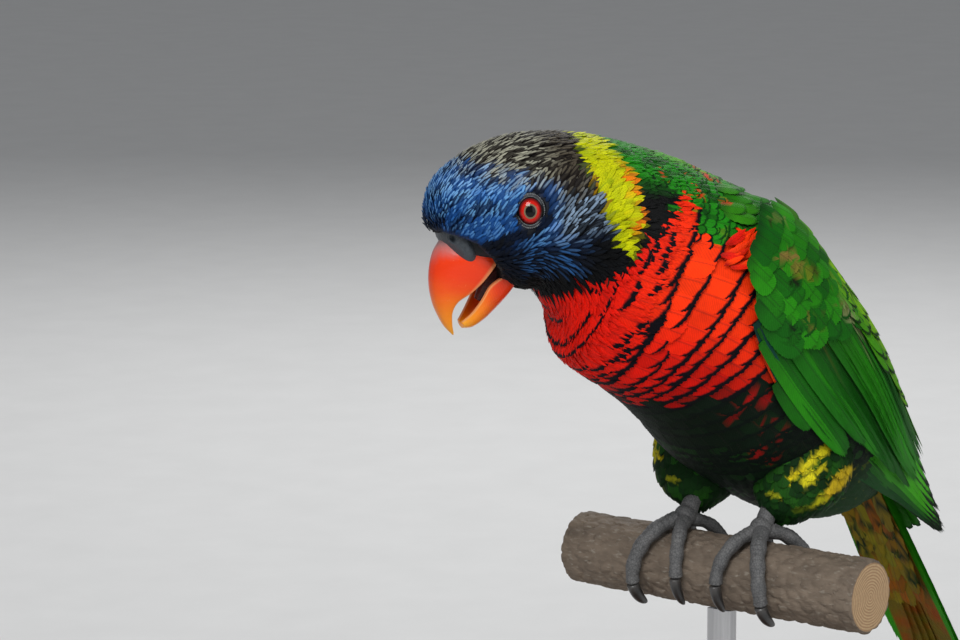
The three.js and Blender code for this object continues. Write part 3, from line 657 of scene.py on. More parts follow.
def seen(points):
    """Where points lie in the view, with those of the bird's right side mirrored first."""
    return projected(np.stack([points[:, 0], -np.abs(points[:, 1]), points[:, 2]], 1))


def stroked(points, ground, strokes):
    """The ground colour under ragged strokes."""
    spot = seen(points)
    ragged = 0.3 * wave(points, 2.2, 90) + 0.25 * wave(points, 0.9, 91)
    for x, y, end_x, end_y, width, shade in strokes:
        start, along = np.array([x, y], float), np.array([end_x - x, end_y - y])
        share = np.clip((spot - start) @ along / (along @ along), 0, 1)
        away = np.linalg.norm(spot - start - share[:, None] * along, axis=1)
        half = width / 2 * (1 - 0.75 * np.abs(2 * share - 1) ** 2.5)
        ground = blend(ground, tint(shade), smooth(1.15, 0.75, away / half + ragged))
    return ground


# Strokes of paint: the place of each end in the camera's view, the width in the middle, and the colour
NAPE_STROKES = [
    (686, 172, 703, 200, 5, "e8260a"), (660, 168, 668, 181, 4, "a83a10"), (703, 173, 711, 180, 4, "b83210"),
    (715, 178, 721, 183, 3, "a03010"), (721, 204, 734, 203, 4, "c03410"), (690, 164, 697, 169, 3, "a03a10"),
    (684, 190, 690, 205, 4, "d8220a"), (648, 160, 662, 192, 7, "06240a"), (664, 186, 672, 200, 5, "04140a"),
    (672, 160, 684, 176, 4, "0a3a0a"), (700, 204, 712, 222, 6, "0a3f0c"), (706, 186, 716, 202, 4, "0a380a"),
    (712, 160, 724, 172, 3, "0c4a0c"), (730, 180, 744, 194, 4, "0c4a0c"), (720, 225, 732, 246, 7, "4a7a14")]
BELLY_STROKES = [
    (741, 410, 756, 394, 7, "a00c08"), (757, 410, 776, 386, 8, "8c0c0a"), (761, 426, 775, 420, 5, "700a0a"),
    (773, 443, 787, 432, 5, "6a0a0a"), (751, 457, 767, 449, 7, "8c0c0a"), (764, 464, 783, 454, 6, "600a0a"),
    (728, 420, 740, 412, 5, "7a0a08")]
THIGH_STROKES = [
    (783, 483, 808, 466, 6, "cdbb14"), (802, 470, 833, 443, 10, "d0c41c"), (801, 486, 818, 471, 12, "d2c81c"),
    (814, 476, 826, 464, 5, "b8ae18"), (812, 506, 834, 490, 9, "a8a414"), (826, 497, 852, 467, 13, "c0a41c"),
    (767, 493, 781, 498, 5, "8a8c14"), (838, 450, 846, 444, 6, "6c7010"), (850, 492, 872, 482, 6, "46500f"),
    (846, 504, 866, 497, 6, "3c480e"), (790, 512, 812, 507, 6, "4a5a10")]
UNDERTAIL_STROKES = [
    (884, 513, 908, 508, 9, "06240a"), (884, 539, 911, 535, 9, "06240a"), (892, 552, 917, 561, 9, "06240a"),
    (904, 572, 927, 588, 11, "06240a"), (862, 508, 880, 500, 7, "06240a"), (868, 530, 884, 524, 6, "06240a")]
WORN_STROKES = [
    (778, 257, 800, 256, 11, "75642e"), (793, 262, 803, 276, 12, "6e6a26"),
    (800, 268, 814, 280, 11, "5f7018"),
    (788, 282, 800, 285, 6, "0d1a06"), (812, 264, 818, 278, 6, "3c4a10"), (766, 215, 784, 219, 6, "55702e"),
    (770, 221, 780, 223, 3, "20300c"), (846, 309, 856, 325, 12, "7d8658"), (840, 298, 848, 308, 6, "5a6a2a"),
    (809, 312, 814, 336, 7, "5a6420"), (822, 306, 826, 320, 5, "2a5a12"), (786, 326, 802, 334, 5, "0c2a0c"),
    (846, 268, 852, 300, 4, "16380a"), (836, 244, 850, 276, 5, "1c4a0c")]

# The collar's front and rear edge at heights of the head, the breast's upper edge by distance, and the
# distance where the belly starts by angle
COLLAR_HEIGHTS = [-16, -10.6, -9.4, -4.7, 0.7, 6.2, 11.3, 17.5]
COLLAR_FRONT = [-31, -16.4, -15.9, -14.3, -12.7, -10.8, -9.0, -10.6]
COLLAR_REAR = [-31, -16.6, -17.9, -19.7, -20.7, -20.7, -19.0, -16.0]
BREAST_TOP = ([21, 25, 28, 37, 43, 46, 48, 49.5, 51, 54, 57, 59, 61, 64, 68, 76, 90],
              [186, 168, 142, 117, 106, 97, 80, 54, 48, 71, 79, 78, 60, 58, 64, 74, 90])
PLAIN_PATCH, PLAIN_REACH = (703, 264), 13  # where the breast has no bars, in pixels of the camera's view
BELLY_START = ([90, 111, 123, 133, 144, 156, 180], [92, 86, 81, 78.5, 77, 75, 73])


def markings(points, s, a):
    """The ground colour and the mark colour of the plumage, the depth of the band at a feather's tip, and
    the strength of its shaft streak."""
    head = points - HEAD_CENTRE
    forward, up, out = head @ HEADING, head @ UP, np.abs(head @ HEAD_LEFT)
    angle = np.abs((np.asarray(a) + 180) % 360 - 180)
    ragged = 1.0 * wave(points, 7, 1) + 0.6 * wave(points, 2.5, 2)
    n = len(points)
    ground, mark = plain_tint(GREEN, n), plain_tint(GREEN_DARK, n)
    band = np.full(n, 0.05)

    # Hindneck, mantle and rump
    light = smooth(-0.6, 0.9, wave(points, 16, 3))
    ground = blend(ground, GREEN_LIGHT, light * 0.45 * smooth(60, 95, s))
    ground = blend(ground, GREEN_DARK, 0.75 * smooth(0.0, 0.7, wave(points, 6, 4)) * smooth(90, 50, s))
    ground = blend(ground, GREEN_LIGHT, 0.6 * smooth(24, 6, angle) * smooth(40, 56, s))
    ground = blend(ground, BLACK, smooth(84, 90, angle) * smooth(56, 50, s))

    # Breast
    top = np.interp(s, *BREAST_TOP) + 1.5 * wave(points, 6, 6)
    breast = smooth(-0.4, 0.4, angle - top)
    low = np.interp(angle, *BELLY_START)
    bright = smooth(140, 92, angle) * smooth(44, 58, s)
    red = blend(blend(plain_tint(RED_DEEP, n), RED, smooth(-12, 24, low - s)), SCARLET, 0.85 * bright)
    red = blend(red, RED_DEEP, 0.3 * smooth(0.1, 0.9, wave(points, 11, 16)) * (1 - bright))
    ground = blend(ground, red, breast)
    mark = blend(mark, BAR, breast)
    bars = 0.085 + 0.026 * wave(points, 16, 7) + 0.012 * wave(points, 5, 17)
    plain = np.linalg.norm(seen(points) - PLAIN_PATCH, axis=1) < PLAIN_REACH
    bars = np.where(plain | (wave(points, 9, 27) < -0.95), 0, bars)
    band = band * (1 - breast) + breast * np.maximum(bars, 0)

    # Belly, flanks and vent
    belly = smooth(-0.8, 0.8, s - low + 3 * ragged) * smooth(-1, 1, angle - 82)
    ground = blend(ground, BELLY, belly)
    ground = blend(ground, tint("123a10"), belly * smooth(0.0, 0.9, wave(points, 9, 18)) * smooth(84, 112, s))
    mark = blend(mark, tint("04100a"), belly)
    vent = smooth(124, 138, s) * smooth(70, 100, angle)
    ground = blend(ground, tint("4a5c14"), vent * 0.8)
    mark = blend(mark, tint("0e3410"), vent)
    band = band * (1 - vent) + 0.3 * vent

    # Black between the collar and the breast
    front = np.interp(up, COLLAR_HEIGHTS, COLLAR_FRONT)
    rear = np.interp(up, COLLAR_HEIGHTS, COLLAR_REAR)
    behind = front - forward + 0.4 * ragged
    bib = smooth(-1, 1, behind) * smooth(9, 6, rear - forward + 2 * ragged) * smooth(9, 3, up)
    bib = bib * (angle > 44) * (1 - breast)
    ground, mark = blend(ground, BLACK, bib), blend(mark, BLACK, bib)

    # Collar
    collar = smooth(-0.5, 0.5, behind) * smooth(-0.5, 0.5, forward - rear + 0.4 * ragged)
    collar = collar * smooth(-11.6, -10.8, up)
    tinge = smooth(3.4, 0.4, forward - rear) * smooth(13, 8, up) * smooth(-7, -3, up)
    tinge = tinge * smooth(-0.9, 0.2, wave(points, 3, 19)) * 0.85
    fringe = smooth(1.5, 0.3, behind) * smooth(12, 9, up) * smooth(-1, 2, up) * 0.85
    gold = blend(blend(plain_tint(YELLOW, n), YELLOW_DEEP, smooth(0, 1, wave(points, 5, 9))), ORANGE, tinge)
    gold = blend(gold, tint("7a2405"), fringe)
    ground, mark = blend(ground, gold, collar), blend(mark, gold, collar)
    band = band * (1 - collar)

    # Head
    head_zone = smooth(0.6, -0.6, behind) * smooth(50, 47, s) * (1 - breast)
    crown = smooth(-2.6, 2.6, up - (6.3 + 0.22 * forward) + 1.5 * ragged) * smooth(21, 15, forward)
    nape = smooth(2, -6, forward)
    ear = smooth(2, -5, forward) * smooth(-9, -4, up)
    cheek = smooth(-4, -9, up) * smooth(16, 11, forward + 0.3 * ragged)
    throat = smooth(-12, -16, up + 0.15 * (forward + 2) + ragged)
    throat = np.maximum(throat, smooth(-5, -12, forward + 0.6 * ragged) * smooth(-2, -8, up))
    base = blend(plain_tint(BLUE, n), BLUE_DEEP, smooth(-0.3, 0.8, wave(points, 5, 10)))
    line = blend(plain_tint(STREAK_BLUE, n), tint("3f86d6"), smooth(0.0, 0.9, wave(points, 6, 11)))
    pale = smooth(2, 9, up) * smooth(4, 12, forward)
    line = blend(line, tint("8fbdea"), pale * 0.8)
    base, line = blend(base, CHEEK, cheek), blend(line, STREAK_CHEEK, cheek)
    base, line = blend(base, EAR, ear), blend(line, STREAK_EAR, ear)
    base, line = blend(base, CROWN, crown), blend(line, STREAK_GREY, crown)
    line = blend(line, tint("5a4c38"), crown * nape * 0.8)
    base, line = blend(base, BLACK, throat), blend(line, SHEEN_BLACK, throat)
    lore = np.abs(up + 4.6 + 0.30 * (forward - 5.6)) / 1.7 + smooth(14, 17, forward) + smooth(3, 0, forward)
    lore = smooth(1.1, 0.6, lore)
    rim = smooth(4.8, 4.1, np.hypot(forward - 3.2, up - 0.6)) * (out > 8)
    root = smooth(3.0, 0.6, s)
    dark = np.maximum(np.maximum(lore, rim), root)
    base, line = blend(base, BLACK, dark * 0.9), blend(line, tint("10243c"), dark)
    power = 0.92 - 0.35 * cheek - 0.45 * smooth(4, -4, up) * smooth(3, 7, forward) - 0.45 * crown * nape
    power = power - 0.3 * (1 - crown) * smooth(0.0, 0.8, wave(points, 9, 12))
    ground, mark = blend(ground, base, head_zone), blend(mark, line, head_zone)
    band = band * (1 - head_zone)
    streak = np.clip(power, 0, 1) * head_zone * (1 - dark) * (1 - 0.8 * throat)
    return ground, mark, band, streak


BARB_RATE = 9.0  # radians of the barbs' ridges a millimetre
FEATHER_ROUGHNESS = 0.6


def plumage(name, under=None):
    """Vanes: a tip band and a shaft streak in the mark colour over the ground, with the barbs as fine
    ridges. Under is the colour of the faces that point down from the tail."""
    paint = Paint(name, Roughness=FEATHER_ROUGHNESS, IOR=1.28, Specular_IOR_Level=0.25)
    across, along, _ = paint.split(paint.node("ShaderNodeUVMap", {"uv_map": "vane"})[0])
    width, length, arch = paint.split(paint.field("size")[1])
    ground, mark = paint.field("ground")[0], paint.field("mark")[0]
    band, streak, chance = paint.split(paint.field("look")[1])
    spread = across.math("ABSOLUTE")
    slope = spread * width * 0.5
    barbs = ((along * length - slope * 1.1) * BARB_RATE).math("SINE")
    edge = (1 - spread * spread).math("MAXIMUM", 0.0) ** 0.5
    depth = edge * arch + 1.0 - arch - along + (paint.noise(900.0, 2.0)[0] - 0.5) * 0.08
    tip = depth.step(band + 0.03, band - 0.03) * band.step(0.01, 0.04)
    shaft = spread.step(0.56, 0.18) * along.step(0.2, 0.55) * streak
    fine = spread.step(0.08, 0.02) * 0.3
    # The root half of each vane is darkened towards black: painted shade where it lies under the feathers in
    # front
    body = paint.mix(along.step(0.5, 0.0) * 0.45, ground, colour(0.003, 0.004, 0.005))
    body = paint.mix(fine, body, colour(0.01, 0.01, 0.008))
    mottle = paint.noise(420.0, 4.0)[0]
    tone = (mottle - 0.5) * 0.44 + 1.0 + (chance - 0.5) * 0.28 + barbs * 0.07
    tones = paint.joined(tone, tone, tone)
    body = paint.mix(1.0, body, tones, "MULTIPLY")
    body = paint.mix(tip, body, mark)
    body = paint.mix(shaft, body, mark)
    if under:
        normal = paint.node("ShaderNodeTexCoord")[1]
        settings = {"operation": "DOT_PRODUCT"}
        facing = paint.node("ShaderNodeVectorMath", settings, [normal, tuple(TAIL_BACK)])[1]
        below = facing.step(-0.1, -0.45)
        body = paint.mix(below, body, paint.mix(1.0, under(paint), tones, "MULTIPLY"))
    relief = barbs * 0.4 + spread.step(0.12, 0.0)
    return paint.set(Base_Color=body, Normal=paint.bump(relief, 0.00005, 0.6),
                     Roughness=(mottle - 0.5) * 0.25 + FEATHER_ROUGHNESS)


def skin_paint():
    paint = Paint("under_plumage", Roughness=0.85)
    down = paint.noise(1400.0, 5.0)[0]
    # The skin's colour is darkened 35 to 85 per cent towards black: painted shade where it shows between the
    # feathers
    shade = paint.mix(down * 0.5 + 0.35, paint.field("ground")[0], colour(0.003, 0.004, 0.005))
    return paint.set(Base_Color=shade, Normal=paint.bump(down, 0.0002))


def closed_ends(grid_points):
    """The points and triangles of rings in a grid, closed on the middle of the first and the last ring."""
    rows, columns = grid_points.shape[:2]
    quads = grid_faces(rows, columns, closed=True)
    k = np.arange(columns)
    m = (k + 1) % columns
    count, last = rows * columns, (rows - 1) * columns
    caps = [np.stack([0 * k + count, m, k], 1), np.stack([last + m, 0 * k + count + 1, last + k], 1)]
    points = np.concatenate([grid_points.reshape(-1, 3), grid_points[[0, -1]].mean(1)])
    return facing_out(points, np.concatenate([quads[:, [0, 1, 2]], quads[:, [0, 2, 3]], *caps]))


# The lower edge of the plumage over the cere and the gape, in the camera's view
FACE_EDGE = ([418, 423, 439, 458, 476, 492, 500, 508], [240, 234, 232, 237, 243, 259, 272, 292])
FACE_FROM = 8  # how far forward on the head it counts


def past_face_edge(points):
    """How many pixels places of the head lie past the plumage's edge, on the cere's side."""
    head = points - HEAD_CENTRE
    forward, up, out = head @ HEADING, head @ UP, np.abs(head @ HEAD_LEFT)
    on_left = HEAD_CENTRE + forward[:, None] * HEADING + up[:, None] * UP + out[:, None] * HEAD_LEFT
    across, down = projected(on_left).T
    past = np.minimum(down - np.interp(across, *FACE_EDGE), FACE_EDGE[0][-1] - across)
    return np.where(forward > FACE_FROM, past, -10)


# The skin under the plumage, one surface over head, neck, torso and thighs. It sinks under the cere and the
# root of the bill.
COAT_DEPTH = 1.0
FACE_SINK = 3.2


def skin():
    paint = skin_paint()
    forms = [(BODY, np.linspace(0, BODY.length, 150), 120)]
    forms += [(thigh_surface(side), np.linspace(0, THIGH_LENGTH, 40), 48) for _, side in SIDES]
    parts = []
    for form, rows, count in forms:
        s, a = np.meshgrid(rows, np.arange(count) * 360 / count, indexing="ij")
        parts.append(mesh_piece("skin", *closed_ends(form.at(s, a, -COAT_DEPTH)), paint, sharp=None))
    with bpy.context.temp_override(active_object=parts[0], selected_editable_objects=parts):
        bpy.ops.object.join()
    shape = parts[0]
    remesh = shape.modifiers.new("even", "REMESH")
    remesh.mode = "VOXEL"
    remesh.voxel_size = 1.1 * MM
    relax = shape.modifiers.new("relax", "SMOOTH")
    relax.iterations = 4
    made = bpy.data.meshes.new_from_object(shape.evaluated_get(bpy.context.evaluated_depsgraph_get()))
    shape.modifiers.clear()
    shape.data = made
    shape.name = "skin"
    points = np.array([v.co for v in made.vertices]) / MM
    sparse = BODY.points[::3, ::3]
    tree = KDTree(sparse.shape[0] * sparse.shape[1])
    for i, p in enumerate(sparse.reshape(-1, 3)):
        tree.insert(p, i)
    tree.balance()
    near = np.array([tree.find(p)[1] for p in points])
    s = (near // sparse.shape[1]) * 3 / (BODY.rows - 1) * BODY.length
    a = (near % sparse.shape[1]) * 3 * 360 / BODY.columns
    face = smooth(-1, 6, past_face_edge(points))
    normals = np.array([v.normal for v in made.vertices])
    sunk = (points - normals * (FACE_SINK * face)[:, None]) * MM
    made.vertices.foreach_set("co", sunk.astype(np.float32).ravel())
    # Dark grey where the skin sinks by the cere and the bill: the bare skin's own dark colour there, and
    # painted shade in that hollow and in the mouth's gap
    ground = blend(markings(points, s, a)[0], tint("22272c"), face).astype(np.float32)
    made.attributes.new("ground", "FLOAT_COLOR", "POINT").data.foreach_set("color", ground.ravel())
    corners = np.zeros(len(made.loops), np.int32)
    made.loops.foreach_get("vertex_index", corners)
    bake = baked_at(s / BODY.length, a / 360)
    made.uv_layers.new(name="OFBake").data.foreach_set("uv", bake[corners].astype(np.float32).ravel())
    made.polygons.foreach_set("use_smooth", np.ones(len(made.polygons), bool))
    made.materials.clear()
    made.materials.append(paint)
    fitted(shape, "green_feathers", "head", "neck", "torso", "thigh_left", "thigh_right")


skin()


def lie_on_head(s, a):
    """How far the feathers of the head turn from the body's line: up behind the eye, down on the cheek."""
    angle = (a + 180) % 360 - 180
    side = np.sign(angle)
    angle = np.abs(angle)
    up = smooth(40, 66, angle) * smooth(114, 100, angle) * (smooth(2, 12, s) + 0.9 * smooth(17, 24, s))
    down = smooth(112, 126, angle) * smooth(172, 150, angle) * smooth(2, 12, s)
    return side * smooth(44, 33, s) * (-27 * up + 22 * down)


def look_of(n, band, streak, rng):
    return np.stack([np.broadcast_to(band, n), np.broadcast_to(streak, n), rng.uniform(0, 1, n)], 1)


def hackle_length(s):
    return 1.6 + 0.9 * smooth(0, 4, s) + 2.4 * smooth(0, 34, s)


def along_hackle(s, a, share):
    """The place over which a share of a head feather's length ends."""
    turn = np.radians(lie_on_head(s, a))
    along, across = BODY.scales(s, a)
    reach = hackle_length(s) * share
    return s + reach * np.cos(turn) / along, a + reach * np.sin(turn) / across


EYE_CLEAR = 3.95


def clear_of_face(s, a):
    """Where feathers of the head grow: not over the eye, the cere, the bill's roots or the mouth."""
    free = past_face_edge(BODY.at(s, a)) <= 0
    for share in (0.0, 0.35, 0.7, 1.0):
        head = BODY.at(*along_hackle(s, a, share)) - HEAD_CENTRE
        eye = np.hypot((head @ HEADING - 3.5) / 0.92, head @ UP - 0.8)
        free &= (eye > EYE_CLEAR) | (np.abs(head @ HEAD_LEFT) < 7)
    head = BODY.at(s, a) - HEAD_CENTRE
    forward, up, out = head @ HEADING, head @ UP, head @ HEAD_LEFT
    ahead, above = forward - CERE_AT[0], up - CERE_AT[1]
    tall = ahead * math.cos(CERE_LEAN) + above * math.sin(CERE_LEAN)
    deep = above * math.cos(CERE_LEAN) - ahead * math.sin(CERE_LEAN)
    free &= (out / 6.6) ** 2 + (tall / 7.2) ** 2 + (deep / 3.4) ** 2 > 1.0
    mouth = (up < -11 - 0.55 * (16 - forward)) & (forward > 3.5) & (up > -30) & (np.abs(out) < 7)
    return free & ~mouth


HACKLE_SPACING = 0.56
STREAKED = 0.64  # the share of head feathers with a bright streak


def head_coat():
    rng = np.random.default_rng(31)
    coat = Coat("coat_head", HACKLES, "blue_feathers")

    def spacing(s):
        return HACKLE_SPACING + 0.25 * smooth(2, 34, s)

    s, a = sown(BODY, (0.05, 50.0), (-180, 180), spacing, HACKLE_SPACING, 32, clear_of_face)
    middle = along_hackle(s, a, 0.6)
    ground, mark, _, streak = markings(BODY.at(*middle), *middle)
    size = smooth(0, 34, s)
    n = len(s)
    streak = streak * np.where(rng.uniform(0, 1, n) < STREAKED, rng.uniform(0.55, 1.0, n), 0.08)
    coat.lay(BODY, s, a, length=hackle_length(s) * rng.uniform(0.85, 1.15, n), width=0.95 + 0.4 * size,
             turn=lie_on_head(s, a) + rng.normal(0, 6, n), bend=rng.normal(0, 0.06, n),
             lift=-0.75, rise=0.75 + 0.3 * size + rng.normal(0, 0.12, n), thick=0.16, cup=0.06,
             ground=ground, mark=mark, look=look_of(n, 0, streak, rng))
    return coat


def body_coat(name, rows, a_range, apart, length, width, slot, seed, keep=None, jitter=0.16,
              patterns=BODY_FEATHERS, vary=1.0, **shape):
    """Feathers in rows round the body, coloured by where their tips end. Their length is true at their
    middle, where the body's scale is looked up."""
    rng = np.random.default_rng(seed)
    coat = Coat(name, patterns, slot)
    s, a = in_rows(BODY, rows, a_range, apart, seed, jitter, keep)
    middle = s
    for _ in range(4):
        middle = s + length / 2 / BODY.scales(middle, a)[0]
    tip = s + length * 0.8 / BODY.scales(middle, a)[0]
    stretch = BODY.scales(s, a)[0] / BODY.scales(middle, a)[0]
    ground, mark, band, streak = markings(BODY.at(tip, a), tip, a)
    n = len(s)
    values = dict(lift=-1.05, rise=1.3, thick=0.14, cup=0.3, roll=rng.normal(0, 0.08, n))
    values.update(shape)
    coat.lay(BODY, s, a, length=length * stretch * rng.uniform(1 - 0.06 * vary, 1 + 0.06 * vary, n),
             width=width * rng.uniform(0.9, 1.1, n), turn=vary * rng.normal(0, 4, n),
             bend=vary * rng.normal(0, 0.04, n), ground=ground, mark=mark,
             look=look_of(n, band, streak, rng), **values)
    return coat


feathers = plumage("feathers")
head_coat().piece(feathers)


def off_head(s, a):
    """Behind the head and its throat."""
    angle = np.abs((a + 180) % 360 - 180)
    return s + 7 > np.interp(angle, [0, 60, 93, 114, 141, 172, 180], [42, 46, 46, 38, 28, 25, 22])


def above_breast(s, a):
    return off_head(s, a) & (np.abs((a + 180) % 360 - 180) < np.interp(s + 4, *BREAST_TOP) + 2)


def on_breast(s, a):
    return off_head(s, a) & (np.abs((a + 180) % 360 - 180) > np.interp(s + 8, *BREAST_TOP) + 1.5)


def breast_rows():
    """The distances of the breast's rows, some millimetres apart and wider apart further back."""
    rows = [15.0]
    while rows[-1] < 98:
        last = np.array(rows[-1:])
        along = BODY.scales(last, 145 - 42 * smooth(30, 55, last))[0]
        rows.append(rows[-1] + float((3.8 + 1.7 * smooth(34, 60, rows[-1])) / along[0]))
    return rows


body_coat("coat_neck", np.arange(30, 60, 1.45), (-128, 128), 1.7, 5.6, 3.0, "green_feathers", 41,
          above_breast, strokes=NAPE_STROKES, rise=0.9, lift=-0.8).piece(feathers)
body_coat("coat_breast", breast_rows(), (40, 320), 4.3, 11.0, 8.0, "red_feathers", 42, on_breast,
          jitter=0.03, patterns=BREAST_FEATHERS, vary=0.3, tip_arch=0.10, roll=0.24,
          strokes=BELLY_STROKES + NAPE_STROKES).piece(feathers)
body_coat("coat_mantle", np.arange(54, 162, 2.8), (-75, 75), 3.2, 9.5, 6.0, "green_feathers", 43,
          strokes=NAPE_STROKES).piece(feathers)
body_coat("coat_belly", np.arange(92, 164, 2.6), (70, 290), 2.8, 9.0, 5.2, "red_feathers", 44,
          strokes=BELLY_STROKES + THIGH_STROKES).piece(feathers)


def thigh_coat(side, name):
    rng = np.random.default_rng(51)
    coat = Coat(f"coat_thigh_{name}", BODY_FEATHERS, "thigh_feathers")
    thigh = thigh_surface(side)
    s, a = in_rows(thigh, np.arange(2, 37, 1.9), (0, 360), 2.0, 52)
    points = thigh.at(s + 4, a)
    n = len(s)
    ground = blend(plain_tint(tint("0b2a0b"), n), tint("1c4a10"), smooth(0.0, 0.8, wave(points, 7, 53)))
    coat.lay(thigh, s, a, length=7.0 * rng.uniform(0.85, 1.15, n), width=3.8,
             turn=rng.normal(0, 8, n), lift=-0.9, rise=1.2, thick=0.13, cup=0.25, ground=ground,
             mark=plain_tint(tint("0a2a0a"), n), look=look_of(n, 0.012, 0, rng),
             strokes=THIGH_STROKES + BELLY_STROKES)
    return coat


for name, side in SIDES:
    thigh_coat(side, name).piece(feathers)


# Wings. The outline holds the distance along, and the angles of the upper and lower edge
WING_OUTLINE = np.array([
    (3, 66, 98), (8, 50, 112), (20, 32, 122), (38, 24, 126), (56, 20, 124), (74, 18, 115),
    (92, 20, 107), (108, 26, 99), (122, 38, 90), (134, 50, 82), (144, 58, 72)], float)
COVERT_END = ([22, 45, 72, 90, 110, 124], [50, 49, 43, 35, 26, 22])  # by angle, where the coverts' tips end
VANE_TIP = ([20, 35, 60, 85, 98, 102, 104, 108, 113, 118, 123, 127],  # by angle, where the long vanes end
            [96, 104, 108, 107, 103, 99, 88, 72, 66, 61, 52, 50])


def wing_edges(distance):
    return (np.interp(distance, WING_OUTLINE[:, 0], WING_OUTLINE[:, 1]),
            np.interp(distance, WING_OUTLINE[:, 0], WING_OUTLINE[:, 2]))


class WingSheet:
    """The wing's form on one side, with angles that count from the back on both."""
    across = 360.0
    length = 160.0

    def __init__(self, side):
        self.side = side

    def at(self, s, a, lift=0.0):
        return WING.at(s, self.side * np.asarray(a), lift)

    def scales(self, s, a):
        return WING.scales(s, self.side * np.asarray(a))


def wing_green(points, distance, angle, rng):
    """The wing's greens: bluer and darker at the leading edge, yellow-green along the back."""
    n = len(points)
    shade = 0.7 * smooth(-0.8, 0.9, wave(points, 9, 61)) + 0.25 * rng.uniform(0, 1, n)
    green = blend(plain_tint(tint("0e500f"), n), tint("2a8a10"), shade)
    light = smooth(66, 36, angle) * smooth(6, 40, distance)
    green = blend(green, tint("80b80e"), light * rng.uniform(0.35, 1.0, n))
    return blend(green, tint("08401a"), smooth(100, 122, angle) * smooth(36, 16, distance) * 0.6)


def lay_coverts(coat, sheet, strokes, rng):
    """Rows of round feathers over the front of the wing, longer towards the rear."""
    rows = 9
    for k in range(rows):
        share = (k + 1) / rows
        length, width = 7.0 + 6.0 * share**2, 4.6 + 2.4 * share
        steps = np.linspace(22, 124, 120)
        tips = np.interp(steps, *COVERT_END) * share + 3
        reached = np.concatenate([[0.0], np.cumsum(sheet.scales(tips, steps)[1][1:] * np.diff(steps))])
        count = int(reached[-1] / (width * 0.58))
        spots = np.arange(count) + 0.5 + 0.5 * (k % 2) + rng.uniform(-0.2, 0.2, count)
        a = np.interp(spots / count * reached[-1], reached, steps)
        s = np.interp(a, *COVERT_END) * share + 3 - length + rng.normal(0, 0.5, count)
        low, high = wing_edges(np.maximum(s + length * 0.6, 4))
        inside = (a > low + 5) & (a < high - 6) & (a > wing_edges(np.maximum(s, 3))[0] - 3)
        s, a = np.maximum(s[inside], 0.5), a[inside]
        n = len(s)
        ground = wing_green(sheet.at(s + length * 0.7, a), s + length, a, rng)
        coat.lay(sheet, s, a, length=length * rng.uniform(0.94, 1.06, n), width=width,
                 turn=rng.normal(0, 4, n), lift=0.1 + 0.5 * share, rise=0.7 + 0.6 * share, thick=0.14,
                 cup=0.3, roll=rng.normal(0.05, 0.08, n), ground=ground, strokes=strokes,
                 mark=blend(ground, tint("063208"), np.full(n, 0.4)),
                 look=look_of(n, 0.04 * (rng.uniform(0, 1, n) < 0.35), 0, rng))


def lay_back_vanes(coat, sheet, strokes, rng):
    """Narrow vanes along the back's edge of the wing."""
    for k, s in enumerate(np.arange(26.0, 74.0, 4.6)):
        low = wing_edges(s + 9)[0]
        a = low + np.arange(8.0, 58.0 - 0.2 * s, 8.0) + 4 * (k % 2)
        n = len(a)
        a, s = a + rng.normal(0, 1.5, n), s + rng.normal(0, 1.4, n)
        lit = rng.uniform(0.35, 1, n) * smooth(76, 50, a)
        coat.lay(sheet, s, a, length=rng.uniform(14, 20, n), width=3.8, turn=rng.normal(0, 3, n),
                 lift=0.5 + 0.8 * smooth(16, 36, s), rise=0.9, thick=0.16, cup=0.3,
                 roll=rng.normal(0.2, 0.15, n),
                 ground=blend(plain_tint(tint("3f920e"), n), tint("8fc20e"), lit),
                 mark=plain_tint(tint("14380a"), n), look=look_of(n, 0.05, 0, rng), strokes=strokes)


def lay_long_vanes(coat, sheet, strokes, rng):
    """The long vanes behind the coverts, one beside the other."""
    count = 25
    k = np.arange(count)
    a = np.linspace(24, 124.5, count) + rng.normal(0, 0.5, count)
    tip = np.interp(a, *VANE_TIP) + rng.normal(0, 1.2, count)
    front = np.interp(a, WING_OUTLINE[:4, 2], WING_OUTLINE[:4, 0]) + 2
    root = np.maximum(np.interp(a, *COVERT_END) - 12, front)
    ground = wing_green(sheet.at((root + tip) / 2, a), tip, a, rng)
    coat.lay(sheet, root, a, length=tip - root, width=5.0, lift=0.9 - 0.02 * k + 0.12 * (k % 2), rise=0.7,
             turn=rng.normal(0, 0.6, count), thick=0.24, cup=0.3, roll=0.42, ground=ground,
             mark=blend(ground, tint("052a08"), np.full(count, 0.6)), look=look_of(count, 0.02, 0, rng),
             strokes=strokes)


def lay_primaries(coat, sheet, rng):
    """The primaries, each bent to keep its place between the wing's edges."""
    count = 10
    k = np.arange(count)
    row = np.linspace(0.40, 0.95, count)
    tip = 112 + 32 * np.sin(k / (count - 1) * math.pi / 2)
    root = np.full(count, 56.0)
    low, high = wing_edges(root)
    a = low + (high - low) * row
    low, high = wing_edges(tip)
    reach = (low + (high - low) * row - a) * sheet.scales(tip * 0.5 + 28, a)[1]
    ground = blend(plain_tint(tint("46ae18"), count), tint("0d4a16"), smooth(0.72, 0.95, row))
    coat.lay(sheet, root, a, length=tip - root, width=8.0, lift=-0.1 - 0.16 * k, rise=0.2 + 0.05 * k,
             bend=reach / (tip - root), thick=0.28, cup=0.2, roll=0.3, ground=ground,
             mark=plain_tint(tint("0a1c0a"), count), look=look_of(count, 0.05, 0, rng))


# The leading vane, and the red edge under it: place across, width, root, tip, lift and colour
LEADING_EDGE = ((117.0, 4.0, 14, 38, 0.5, "0c4034"), (120.5, 2.4, 18, 43, 0.1, "c8380c"))


